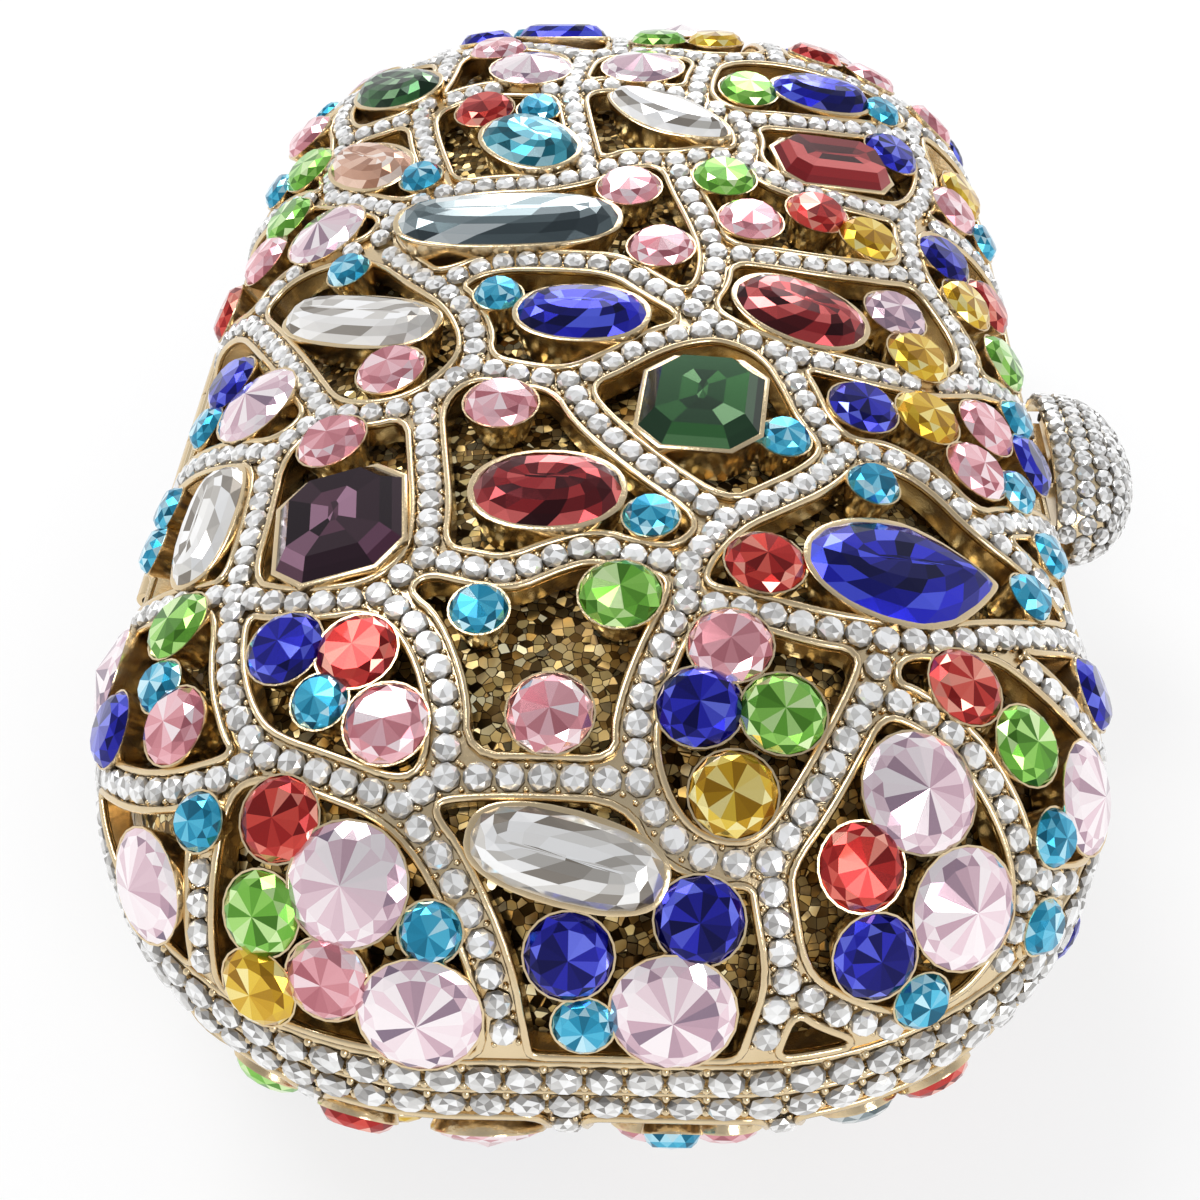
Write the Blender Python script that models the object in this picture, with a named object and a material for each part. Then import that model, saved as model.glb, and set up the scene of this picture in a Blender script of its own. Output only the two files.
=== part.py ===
"""Evening clutch: an oval metal box in two hinged halves, closed by a rocking clasp.

Each half is a thin bowl behind a cast net of raised veins. Round stones sit in
cups on the net, and larger fancy stones sit in bezels of their own between the
veins. A rim frames each half where they meet. +Z is up, the lid is on top, the
hinge is at -X and the clasp at +X. The origin is on the floor, under the flat
top of the oval stone nearest the middle of the back half.
"""
import math

import bmesh
import bpy
import numpy as np
from mathutils import Matrix, Vector

# Case, in metres
case_width = 0.110
case_length = 0.180
corner_radius = 0.042
half_height = 0.031
crown_reach = 0.052
crown_power = 2.2
seam_gap = 0.0003
fit_gap = 0.0003

# Layers of one half, measured inward from the tops of the veins
casting_depth = 0.0026
shell_clearance = 0.0010
shell_wall = 0.0008
lining_wall = 0.0010

# Net of veins
vein_width = 0.0046
border_rail = 0.0012
longest_edge = 0.0150
vein_corner = 0.0016
merge_distance = 0.0009
weld_distance = 0.00001
mitre_limit = 0.7
straight_degrees = 17
corner_degrees = 42
smooth_degrees = 35

# Rim
rim_height = 0.0047
rim_lip = 0.0009
rim_groove = 0.0008

# Round stones and their cups
large_diameter = 0.0113
middle_diameter = 0.0079
small_diameter = 0.0055
cup_wall = 0.0004
cup_lift = 0.0010
cup_root = 0.0022
cup_bite = 0.0008
neighbour_bite = 0.0002
cup_turn_degrees = 4
chaton_crown = 0.0015
pointed_crown = 0.0020
cup_foot_share = 0.72
chaton_table_share = 0.60

# Fancy stones and their bezels
fancy_length = 0.0160
bezel_wall = 0.0004
bezel_lift = 0.0009
bezel_root = casting_depth + shell_clearance - fit_gap
fancy_shoulder = 0.0012
fancy_crown = 0.0020
rest_proud = 0.0032
bezel_foot_share = 0.86
shoulder_share = 0.80
table_share = 0.50

# Hinge
hinge_length = 0.050
hinge_knuckles = 5
hinge_pin_radius = 0.0006
hinge_barrel_wall = 0.0007
leaf_thickness = 0.0008
leaf_top = 0.0046
tab_relief = 0.0001

# Clasp
clasp_length = 0.029
clasp_height = 0.017
clasp_depth = 0.0095
clasp_plate_length = 0.024
clasp_plate_thickness = 0.0008
clasp_plate_top = 0.0006
clasp_pin_radius = 0.0005
clasp_barrel_wall = 0.00055
clasp_pin_drop = 0.0060
ear_width = 0.0020
ear_spread = 0.0180
lug_width = 0.0030
lug_spread = 0.0110
lug_bite = 0.0010
lug_half_share = 0.90
catch_length = 0.012
catch_bottom = 0.0010
catch_top = 0.0044
catch_lip = 0.0009
catch_lip_height = 0.0008
hook_length = 0.008
hook_height = 0.0008
spring_width = 0.0040
spring_thickness = 0.0003
spring_top = 0.0018
tail_length = 0.0160
tail_height = 0.0060
tail_depth = 0.0030
tail_shoulder_share = 0.7
tail_profile_shares = ((0.0, 1.0), (0.45, 0.8), (0.8, 0.5), (1.0, 0.2))

# Sides of the faceted round forms
large_sides = 7
middle_sides = 6
small_sides = 5
plain_large_sides = 6
plain_middle_sides = 5
plain_small_sides = 4
oval_sides = 10
plain_oval_sides = 8
pin_sides = 8
corner_steps = 5
long_side_steps = 4
short_side_steps = 2
profile_samples = 400
cutter_overrun = 0.004

# Corners of the veins, in shares of the half width and half length laid flat
vein_shares = {
    "a0": (-0.545, -0.24), "a1": (-0.54, -0.345), "a2": (-0.545, -0.455), "a3": (-0.53, -0.56),
    "a4": (-0.497, -0.62), "a5": (-0.45, -0.655), "b0": (-0.53, -0.668), "b1": (-0.62, -0.665),
    "b2": (-0.71, -0.645), "b3": (-0.81, -0.60), "b4": (-1.05, -0.48), "c1": (-0.565, -0.745),
    "c2": (-0.595, -0.82), "c3": (-0.66, -0.96), "d1": (-0.345, -0.685), "d2": (-0.25, -0.712),
    "d3": (-0.18, -0.765), "d4": (-0.12, -0.85), "d5": (-0.085, -1.02), "e0": (-0.188, -0.688),
    "e1": (-0.02, -0.25), "e2": (0.085, -0.335), "f1": (-0.47, -0.485), "f2": (-0.385, -0.50),
    "f3": (-0.305, -0.497), "f4": (-0.235, -0.54), "f5": (-0.192, -0.61), "g0": (-0.245, -0.455),
    "g1": (-0.18, -0.47), "g2": (-0.12, -0.478), "g3": (-0.06, -0.455), "g4": (0.0, -0.44),
    "g5": (0.06, -0.455), "g6": (0.135, -0.462), "h1": (0.13, -0.508), "h2": (0.09, -0.57),
    "h3": (0.062, -0.635), "h4": (0.07, -0.69), "h5": (0.11, -0.742), "h6": (0.175, -0.762),
    "h7": (0.245, -0.757), "h8": (0.30, -0.705), "h9": (0.345, -0.65), "h10": (0.385, -0.595),
    "h11": (0.415, -0.53), "i1": (-0.06, -0.686), "k1": (0.22, -0.515), "k2": (0.31, -0.53),
    "k3": (0.50, -0.518), "k4": (0.58, -0.492), "k5": (0.67, -0.46), "k6": (0.75, -0.425),
    "k7": (0.85, -0.385), "k8": (1.05, -0.33), "l1": (0.67, -0.51), "l2": (0.76, -0.525),
    "l3": (0.87, -0.525), "l4": (1.05, -0.50), "m0": (0.25, -0.79), "m1": (0.275, -0.86),
    "m2": (0.25, -0.915), "m3": (0.22, -1.02), "n1": (0.34, -0.885), "n2": (0.42, -0.90),
    "n3": (0.51, -0.90), "n4": (0.595, -0.872), "n5": (0.645, -0.825), "n6": (0.667, -0.77),
    "n7": (0.65, -0.72), "n8": (0.60, -0.67), "n9": (0.53, -0.622), "n10": (0.45, -0.597),
    "o1": (0.72, -0.725), "o2": (0.80, -0.705), "o3": (1.05, -0.62), "p1": (-0.62, -0.437),
    "p2": (-0.71, -0.415), "p3": (-0.80, -0.39), "p4": (-1.05, -0.30), "q1": (-0.62, -0.213),
    "q2": (-0.70, -0.185), "q3": (-0.80, -0.155), "q4": (-1.05, -0.08), "r1": (-0.95, -0.85),
    "r2": (0.50, -1.05), "r3": (1.05, -0.56), "r4": (1.05, -0.80), "r5": (0.80, -0.95),
    "r6": (-0.80, 0.95), "s0": (-0.455, -0.20), "s1": (-0.37, -0.222), "s2": (-0.285, -0.213),
    "t1": (-0.265, -0.30), "t2": (-0.245, -0.385), "u0": (-0.215, -0.155), "u1": (-0.212, -0.10),
    "u2": (-0.25, -0.035), "u3": (-0.30, 0.005), "u4": (-0.345, 0.04), "u5": (-0.395, 0.085),
    "v1": (-0.14, -0.178), "v2": (-0.055, -0.19), "v3": (0.01, -0.16), "v4": (0.075, -0.12),
    "v5": (0.14, -0.098), "v6": (0.20, -0.092), "v7": (0.28, -0.12), "w1": (0.315, -0.18),
    "w2": (0.335, -0.23), "w3": (0.38, -0.275), "w4": (0.33, -0.325), "w5": (0.26, -0.365),
    "w6": (0.19, -0.40), "x0": (0.02, 0.027), "x1": (0.08, -0.018), "x2": (0.145, -0.055),
    "y1": (0.37, -0.128), "y2": (0.46, -0.128), "y3": (0.55, -0.115), "y4": (0.65, -0.065),
    "y5": (0.74, -0.035), "y6": (0.85, 0.0), "y7": (1.05, 0.045), "z1": (-0.20, 0.04),
    "z2": (-0.09, 0.035), "A1": (0.18, 0.0), "A2": (0.187, 0.06), "A3": (0.165, 0.125),
    "A4": (0.135, 0.19), "A5": (0.115, 0.258), "B1": (0.28, 0.058), "B2": (0.38, 0.06),
    "B3": (0.48, 0.078), "B4": (0.565, 0.105), "B5": (0.615, 0.055), "B6": (0.66, 0.0),
    "D1": (0.45, -0.262), "D2": (0.53, -0.28), "D3": (0.605, -0.328), "D4": (0.68, -0.287),
    "D5": (0.77, -0.245), "D6": (1.05, -0.13), "E1": (0.70, -0.345), "E2": (0.78, -0.35),
    "F1": (-0.505, -0.14), "F2": (-0.56, -0.075), "F3": (-0.63, 0.0), "F4": (-0.70, 0.07),
    "F5": (-0.80, 0.115), "F6": (-1.05, 0.17), "G1": (-0.48, 0.12), "G2": (-0.58, 0.128),
    "G3": (-0.65, 0.117), "H1": (-0.425, 0.13), "H2": (-0.40, 0.183), "H3": (-0.315, 0.205),
    "I1": (-0.22, 0.207), "I2": (-0.13, 0.203), "I3": (-0.045, 0.222), "I4": (0.03, 0.262),
    "K1": (-0.345, 0.27), "K2": (-0.375, 0.34), "K3": (-0.395, 0.415), "L1": (-0.48, 0.225),
    "L2": (-0.56, 0.275), "L3": (-0.585, 0.345), "L4": (-0.565, 0.42), "M1": (-0.48, 0.413),
    "N1": (-0.605, 0.50), "N2": (-0.58, 0.585), "N3": (-0.47, 0.625), "N4": (-0.36, 0.60),
    "N5": (-0.365, 0.505), "O1": (-0.32, 0.445), "O2": (-0.24, 0.452), "O3": (-0.16, 0.44),
    "O4": (-0.095, 0.435), "P1": (-0.06, 0.29), "P2": (-0.078, 0.36), "Q1": (-0.02, 0.457),
    "Q2": (0.07, 0.442), "Q3": (0.155, 0.412), "Q4": (0.235, 0.372), "Q5": (0.258, 0.32),
    "Q6": (0.245, 0.27), "Q7": (0.18, 0.278), "S1": (0.31, 0.225), "S2": (0.40, 0.215),
    "S3": (0.49, 0.222), "S4": (0.567, 0.237), "S5": (0.56, 0.17), "T1": (0.33, 0.38),
    "T2": (0.45, 0.402), "T3": (0.54, 0.432), "T4": (0.62, 0.46), "T5": (0.645, 0.38),
    "T6": (0.62, 0.30), "U1": (0.165, 0.48), "U2": (0.19, 0.55), "U3": (0.33, 0.575),
    "U4": (0.46, 0.575), "U5": (0.58, 0.56), "U6": (0.64, 0.52), "W1": (0.10, 0.585),
    "W2": (0.0, 0.585), "W3": (-0.07, 0.56), "W4": (-0.085, 0.50), "W5": (-0.16, 0.615),
    "W6": (-0.26, 0.625), "X1": (0.70, 0.262), "X2": (0.80, 0.262), "X3": (1.05, 0.27),
    "X4": (0.73, 0.52), "X5": (0.84, 0.545), "X6": (1.05, 0.60), "Y1": (-0.65, 0.315),
    "Y2": (-0.75, 0.345), "Y3": (-1.05, 0.42), "Y4": (-0.66, 0.63), "Y5": (-0.76, 0.67),
    "Y6": (-0.95, 0.75), "Z1": (-0.40, 0.70), "Z2": (-0.43, 0.80), "Z3": (-0.47, 1.02),
    "Z4": (0.0, 0.66), "Z5": (-0.02, 0.76), "Z6": (-0.04, 1.02), "Z7": (0.33, 0.66),
    "Z8": (0.31, 0.77), "Z9": (0.28, 1.02), "Z10": (0.65, 0.62), "Z11": (0.67, 0.71),
    "Z12": (0.76, 0.95),
}

# Windows of the net, each named for what it holds, by the corners round it
windows = {
    "near_left_cluster": "b0 a5 d1 d2 d3 d4 d5 c3 c2 c1",
    "near_left_side": "b0 c1 c2 c3 r1 b4 b3 b2 b1",
    "near_middle": "e0 i1 h4 h5 h6 h7 m0 m1 m2 m3 d5 d4 d3 d2",
    "near_right_cluster": "m0 m1 n1 n2 n3 n4 n5 n6 n7 n8 n9 n10 h10 h9 h8 h7",
    "near_slot": "m1 n1 n2 n3 r2 m3 m2",
    "amber_loop": "h1 h2 h3 h4 h5 h6 h7 h8 h9 h10 h11 k2 k1",
    "open_field": "g0 g1 g2 g3 g4 g5 g6 h1 h2 h3 h4 i1 e0 f5 f4 f3",
    "four_stone_loop": "a2 f1 f2 f3 f4 f5 e0 d2 d1 a5 a4 a3",
    "left_low_side": "a2 a3 a4 a5 b0 b1 b2 b3 b4 p4 p3 p2 p1",
    "left_side": "a0 a1 a2 p1 p2 p3 p4 q4 q3 q2 q1",
    "dark_octagon": "a0 a1 a2 f1 f2 f3 g0 t2 t1 s2 s1 s0",
    "garnet": "s2 t1 t2 g0 g1 g2 g3 g4 g5 g6 w6 e2 e1 v2 v1 u0",
    "right_low_side": "h11 k3 k4 l1 l2 l3 l4 r3 o3 o2 o1 n7 n8 n9 n10 h10",
    "right_corner": "n7 o1 o2 o3 r4 r5 n4 n5 n6",
    "right_small": "k4 k5 k6 k7 k8 l4 l3 l2 l1",
    "pear": "w3 w4 w5 w6 g6 h1 k1 k2 h11 k3 k4 k5 k6 k7 E2 E1 D3 D2 D1",
    "right_slot": "D3 E1 E2 k7 k8 D6 D5 D4",
    "green_octagon": "v2 v3 v4 v5 v6 v7 w1 w2 w3 w4 w5 w6 e2 e1",
    "right_side": "v7 y1 y2 y3 y4 y5 y6 y7 D6 D5 D4 D3 D2 D1 w3 w2 w1",
    "middle_oval": "u0 v1 v2 v3 v4 v5 v6 x2 x1 x0 z2 z1 u3 u2 u1",
    "garnet_right": "x2 A1 A2 B1 B2 B3 B4 B5 B6 y4 y3 y2 y1 v7 v6",
    "smoky": "u3 z1 z2 x0 x1 x2 A1 A2 A3 A4 A5 I4 I3 I2 I1 H3 H2 H1 u5 u4",
    "clear_left": "s0 s1 s2 u0 u1 u2 u3 u4 u5 G1 G2 G3 F4 F3 F2 F1",
    "left_middle_side": "a0 s0 F1 F2 F3 F4 F5 F6 q4 q3 q2 q1",
    "left_far_side": "F4 G3 G2 G1 H1 H2 L1 L2 Y1 Y2 Y3 F6 F5",
    "peach": "H2 H3 K1 K2 K3 M1 L4 L3 L2 L1",
    "teal": "H3 I1 I2 I3 P1 P2 O4 O3 O2 O1 K3 K2 K1",
    "navette": "I3 I4 A5 Q7 Q6 Q5 Q4 Q3 Q2 Q1 O4 P2 P1",
    "four_in_a_row": "A2 A3 A4 A5 Q7 Q6 S1 S2 S3 S4 S5 B4 B3 B2 B1",
    "garnet_octagon": "Q6 S1 S2 S3 S4 T6 T5 T4 T3 T2 T1 Q4 Q5",
    "right_far_side": "B4 S5 S4 X1 X2 X3 y7 y6 y5 y4 B6 B5",
    "right_far_pair": "S4 T6 T5 T4 U6 X4 X5 X6 X3 X2 X1",
    "far_oval": "Q3 Q4 T1 T2 T3 T4 U6 U5 U4 U3 U2 U1",
    "far_pale": "O4 Q1 Q2 Q3 U1 U2 W1 W2 W3 W4",
    "far_pale_left": "K3 O1 O2 O3 O4 W4 W3 W5 W6 N4 N5",
    "far_green": "K3 N5 N4 N3 N2 N1 L4 M1",
    "left_far_pair": "L2 L3 L4 N1 N2 Y4 Y5 Y6 Y3 Y2 Y1",
    "end_left_side": "N2 N3 N4 Z1 Z2 Z3 r6 Y6 Y5 Y4",
    "end_left": "N4 W6 W5 W3 W2 Z4 Z5 Z6 Z3 Z2 Z1",
    "end_right": "W2 W1 U2 U3 Z7 Z8 Z9 Z6 Z5 Z4",
    "end_right_middle": "U3 U4 U5 Z10 Z11 Z12 Z9 Z8 Z7",
    "end_right_side": "U5 U6 X4 X5 X6 Z12 Z11 Z10",
}

# Round stones, by size, in the same shares as the veins
large_stone_shares = (
    (-0.318, -0.780), (-0.219, -0.896), (0.117, -0.889), (0.451, -0.682), (0.535, -0.775),
    (0.780, -0.616), (-0.715, -0.762), (-0.854, -0.445), (-0.601, -0.142), (-0.543, 0.175),
    (-0.178, 0.495), (0.049, 0.500), (-0.60, 0.72), (-0.15, 0.86), (0.13, 0.72), (0.475, 0.722),
)
middle_stone_shares = (
    (-0.419, -0.718), (-0.454, -0.798), (-0.481, -0.865), (-0.357, -0.861),
    (-0.019, -0.840), (0.150, -0.808), (0.370, -0.755), (0.400, -0.830),
    (0.191, -0.560), (0.149, -0.622), (0.261, -0.626), (0.193, -0.701),
    (-0.432, -0.550), (-0.323, -0.565), (-0.272, -0.640), (0.039, -0.505), (-0.051, -0.630),
    (0.527, -0.566), (0.631, -0.604), (-0.639, -0.473), (-0.609, -0.601), (-0.774, -0.556),
    (-0.426, -0.260), (-0.158, -0.233), (0.242, -0.463), (0.820, -0.470),
    (0.416, -0.200), (0.531, -0.183), (0.656, -0.148), (0.613, -0.240), (0.775, -0.145),
    (0.500, -0.006), (0.532, -0.076), (0.031, 0.185), (0.090, 0.056), (-0.348, -0.155),
    (-0.689, -0.060), (-0.700, 0.202), (-0.661, 0.268), (-0.820, 0.175), (-0.258, 0.385),
    (0.205, 0.215), (0.249, 0.125), (0.373, 0.165), (0.469, 0.138), (0.548, 0.370),
    (0.259, 0.440), (-0.255, 0.580), (0.635, 0.170), (0.671, 0.095), (0.755, 0.030),
    (0.742, 0.138), (0.694, 0.320), (0.735, 0.388), (-0.640, 0.380), (-0.680, 0.500),
    (0.700, 0.580), (0.800, 0.635), (-0.520, 0.800), (-0.300, 0.700), (-0.310, 0.790),
    (-0.360, 0.870), (0.200, 0.630), (0.080, 0.640), (0.090, 0.820), (0.200, 0.820),
    (0.420, 0.635), (0.548, 0.628), (0.420, 0.800), (0.550, 0.795),
)
small_stone_shares = (
    (-0.200, -0.822), (0.0, -0.903), (0.492, -0.865), (-0.369, -0.613), (-0.157, -0.524),
    (0.696, -0.681), (0.735, -0.780), (-0.555, -0.705), (-0.649, -0.547), (-0.790, -0.225),
    (-0.805, -0.283), (0.080, -0.408), (0.282, -0.275), (0.417, -0.324), (0.678, -0.404),
    (-0.184, -0.037), (-0.730, -0.119), (0.751, -0.083), (0.699, -0.235), (0.765, -0.300),
    (-0.470, 0.065), (-0.362, 0.240), (-0.152, 0.375), (0.541, 0.475), (0.785, 0.315),
    (-0.730, 0.390), (-0.700, 0.660), (-0.205, 0.735), (0.120, 0.895),
)

# Fancy stones: cut and turn in degrees, then length and width, then place
fancy_stones = {
    "smoky_oval": ("oval", 3),
    "royal_oval": ("oval", -3),
    "green_octagon": ("octagon", 84),
    "garnet_oval": ("oval", 0),
    "amethyst_octagon": ("octagon", 97),
    "royal_pear": ("pear", 10),
    "clear_bar": ("oval", -14),
    "clear_side_oval": ("oval", 87),
    "clear_oval": ("oval", -27),
    "garnet_right_oval": ("oval", -22),
    "teal_oval": ("oval", -45),
    "clear_navette": ("navette", -35),
    "garnet_octagon": ("octagon", 15),
    "royal_far_oval": ("oval", 12),
    "peach_oval": ("oval", -45),
    "green_far_oval": ("oval", -40),
    "royal_end_oval": ("oval", -8),
}
fancy_size_shares = {
    "smoky_oval": (1.75, 0.72),
    "royal_oval": (0.97, 0.66),
    "green_octagon": (0.97, 0.84),
    "garnet_oval": (0.99, 0.74),
    "amethyst_octagon": (1.00, 0.88),
    "royal_pear": (1.34, 0.91),
    "clear_bar": (1.16, 0.51),
    "clear_side_oval": (1.12, 0.53),
    "clear_oval": (1.44, 0.56),
    "garnet_right_oval": (1.03, 0.75),
    "teal_oval": (0.91, 0.70),
    "clear_navette": (1.22, 0.53),
    "garnet_octagon": (1.00, 0.64),
    "royal_far_oval": (0.94, 0.56),
    "peach_oval": (1.00, 0.59),
    "green_far_oval": (1.00, 0.66),
    "royal_end_oval": (0.88, 0.56),
}
fancy_place_shares = {
    "smoky_oval": (-0.182, 0.105),
    "royal_oval": (-0.040, -0.080),
    "green_octagon": (0.157, -0.238),
    "garnet_oval": (-0.073, -0.375),
    "amethyst_octagon": (-0.380, -0.398),
    "royal_pear": (0.450, -0.440),
    "clear_bar": (-0.023, -0.758),
    "clear_side_oval": (-0.632, -0.330),
    "clear_oval": (-0.425, -0.045),
    "garnet_right_oval": (0.326, -0.045),
    "teal_oval": (-0.160, 0.285),
    "clear_navette": (0.102, 0.352),
    "garnet_octagon": (0.415, 0.290),
    "royal_far_oval": (0.410, 0.467),
    "peach_oval": (-0.478, 0.305),
    "green_far_oval": (-0.460, 0.505),
    "royal_end_oval": (-0.130, 0.700),
}
level_stones = ("smoky_oval", "royal_oval", "green_octagon", "garnet_oval", "teal_oval", "clear_navette")
rest_stone = "royal_oval"

# Rows of the bowls, in shares of the flat corner radius from the seam
bowl_row_shares = (0.24, 0.50, 0.84)
pear_point_share = 0.62
navette_point_share = 0.35
octagon_corner_share = 0.30

colours = {
    "pale_gold": ((0.80, 0.68, 0.45), 0.28, 1.0),
    "glitter_bronze": ((0.36, 0.25, 0.11), 0.45, 0.9),
    "cream_satin": ((0.86, 0.80, 0.68), 0.75, 0.0),
    "steel": ((0.60, 0.60, 0.62), 0.30, 1.0),
    "crystal": ((0.90, 0.91, 0.90), 0.10, 0.0),
    "smoky_glass": ((0.34, 0.34, 0.33), 0.08, 0.0),
    "royal_glass": ((0.02, 0.03, 0.55), 0.08, 0.0),
    "green_glass": ((0.06, 0.26, 0.09), 0.08, 0.0),
    "garnet_glass": ((0.33, 0.02, 0.03), 0.08, 0.0),
    "amethyst_glass": ((0.10, 0.03, 0.06), 0.08, 0.0),
    "teal_glass": ((0.05, 0.38, 0.46), 0.08, 0.0),
    "clear_glass": ((0.85, 0.86, 0.83), 0.08, 0.0),
    "peach_glass": ((0.80, 0.58, 0.45), 0.08, 0.0),
}
glass_of_stone = {
    "smoky": "smoky_glass", "royal": "royal_glass", "green": "green_glass", "garnet": "garnet_glass",
    "amethyst": "amethyst_glass", "teal": "teal_glass", "clear": "clear_glass", "peach": "peach_glass",
}


class Dome:
    """A superelliptic dome on a rounded rectangle, laid flat by arc length from the seam."""

    def __init__(self):
        turn = np.linspace(0, math.pi / 2, profile_samples)
        self.inset = crown_reach * (1 - np.cos(turn) ** (2 / crown_power))
        self.rise = half_height * np.sin(turn) ** (2 / crown_power)
        steps = np.hypot(np.diff(self.inset), np.diff(self.rise))
        self.arc = np.concatenate(([0.0], np.cumsum(steps)))
        self.core = Vector((case_width / 2 - corner_radius, case_length / 2 - corner_radius))
        self.radius = float(np.interp(corner_radius, self.inset, self.arc))
        self.size = self.core + Vector((self.radius, self.radius))

    def from_shares(self, shares):
        return Vector((shares[0] * self.size.x, shares[1] * self.size.y))

    def nearest_core(self, flat):
        x = min(max(flat.x, -self.core.x), self.core.x)
        y = min(max(flat.y, -self.core.y), self.core.y)
        return Vector((x, y))

    def keep_from_seam(self, flat, distance):
        """Move a flat point straight inward until it lies at least this far from the seam."""
        core = self.nearest_core(flat)
        out = flat - core
        limit = self.radius - distance
        if out.length <= limit:
            return flat.copy()
        return core + out.normalized() * limit

    def place(self, flat, lift=0.0):
        """Point and normal of the dome at a flat place, lifted along the normal."""
        core = self.nearest_core(flat)
        out = flat - core
        if out.length > 1e-9:
            inset = float(np.interp(self.radius - out.length, self.arc, self.inset))
            along = out.normalized()
            plan = core + along * (corner_radius - inset)
        else:
            to_side = min(self.core.x - abs(flat.x), self.core.y - abs(flat.y))
            inset = corner_radius + to_side
            along = Vector((0.0, 0.0))
            plan = flat
        slope = max(0.0, 1 - inset / crown_reach)
        fullness = 1 - slope ** crown_power
        height = half_height * fullness ** (1 / crown_power)
        outward = slope ** (crown_power - 1) / crown_reach
        upward = fullness ** ((crown_power - 1) / crown_power) / half_height
        normal = Vector((along.x * outward, along.y * outward, upward)).normalized()
        return Vector((plan.x, plan.y, height)) + normal * lift, normal

    def seam_loop(self, distance):
        """Flat loop at one distance from the seam, with the stations that all rings share."""
        radius = self.radius - distance
        corners = ((1, 1, 0), (-1, 1, 1), (-1, -1, 2), (1, -1, 3))
        loop = []
        for side_x, side_y, quarter in corners:
            centre = Vector((side_x * self.core.x, side_y * self.core.y))
            for step in range(corner_steps + 1):
                angle = (quarter + step / corner_steps) * math.pi / 2
                loop.append(centre + Vector((math.cos(angle), math.sin(angle))) * radius)
            following = corners[(quarter + 1) % 4]
            target = Vector((following[0] * self.core.x, following[1] * self.core.y))
            run = target - centre
            pieces = short_side_steps if abs(run.x) > abs(run.y) else long_side_steps
            start = loop[-1].copy()
            for step in range(1, pieces):
                loop.append(start + run * (step / pieces))
        return loop


dome = Dome()
part_collection = None
cutter_collection = None
materials = {}


def clear_scene():
    for item in list(bpy.data.objects):
        bpy.data.objects.remove(item, do_unlink=True)


def make_collection(name):
    collection = bpy.data.collections.new(name)
    bpy.context.scene.collection.children.link(collection)
    return collection


def make_materials():
    for name, (colour, roughness, metallic) in colours.items():
        material = bpy.data.materials.new(name)
        material.use_nodes = True
        shader = material.node_tree.nodes["Principled BSDF"]
        shader.inputs["Base Color"].default_value = (*colour, 1.0)
        shader.inputs["Roughness"].default_value = roughness
        shader.inputs["Metallic"].default_value = metallic
        materials[name] = material


def make_object(name, bm, material, parent=None):
    bmesh.ops.recalc_face_normals(bm, faces=bm.faces[:])
    mesh = bpy.data.meshes.new(name)
    bm.to_mesh(mesh)
    bm.free()
    mesh.materials.append(materials[material])
    item = bpy.data.objects.new(name, mesh)
    item.parent = parent
    part_collection.objects.link(item)
    return item


def make_cutter(name, bm, parent=None):
    bmesh.ops.recalc_face_normals(bm, faces=bm.faces[:])
    bmesh.ops.triangulate(bm, faces=bm.faces[:])
    mesh = bpy.data.meshes.new(name)
    bm.to_mesh(mesh)
    bm.free()
    item = bpy.data.objects.new(name, mesh)
    item.parent = parent
    item.hide_render = True
    item.display_type = "WIRE"
    cutter_collection.objects.link(item)
    return item


def combine(target, tool, operation, overlapping=False):
    modifier = target.modifiers.new(tool.name, "BOOLEAN")
    modifier.object = tool
    modifier.operation = operation
    modifier.solver = "EXACT"
    modifier.use_self = overlapping


def smooth(item):
    item.data.shade_smooth()
    item.data.set_sharp_from_angle(angle=math.radians(smooth_degrees))


def loft(bm, rings, closed_ring=False, low_centre=None, high_centre=None):
    """Skin between rings of equal count; ends are capped, with a fan where a centre is given."""
    rows = [[bm.verts.new(point) for point in ring] for ring in rings]
    count = len(rows[0])
    pairs = list(zip(rows, rows[1:]))
    if closed_ring:
        pairs.append((rows[-1], rows[0]))
    for low, high in pairs:
        for k in range(count):
            following = (k + 1) % count
            bm.faces.new((low[k], low[following], high[following], high[k]))
    if closed_ring:
        return
    for row, centre in ((rows[0], low_centre), (rows[-1], high_centre)):
        if centre is None:
            bm.faces.new(row)
            continue
        middle = bm.verts.new(centre)
        for k in range(count):
            bm.faces.new((row[k], row[(k + 1) % count], middle))


def add_box(bm, low, high):
    centre = (Vector(low) + Vector(high)) / 2
    size = Vector(high) - Vector(low)
    matrix = Matrix.Translation(centre) @ Matrix.Diagonal((*size, 1))
    bmesh.ops.create_cube(bm, size=1, matrix=matrix)


def add_rod(bm, x, z, low_y, high_y, radius, sides=pin_sides):
    centre = Vector((x, (low_y + high_y) / 2, z))
    matrix = Matrix.Translation(centre) @ Matrix.Rotation(math.pi / 2, 4, "X")
    bmesh.ops.create_cone(
        bm, cap_ends=True, segments=sides, radius1=radius, radius2=radius,
        depth=high_y - low_y, matrix=matrix,
    )


def signed_area(points):
    total = 0.0
    for point, following in zip(points, points[1:] + points[:1]):
        total += point.x * following.y - following.x * point.y
    return total / 2


def along_edge(point, following):
    """Points from one corner up to the next, no further apart than the longest edge."""
    pieces = max(1, math.ceil((following - point).length / longest_edge))
    return [point.lerp(following, step / pieces) for step in range(pieces)]


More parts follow.
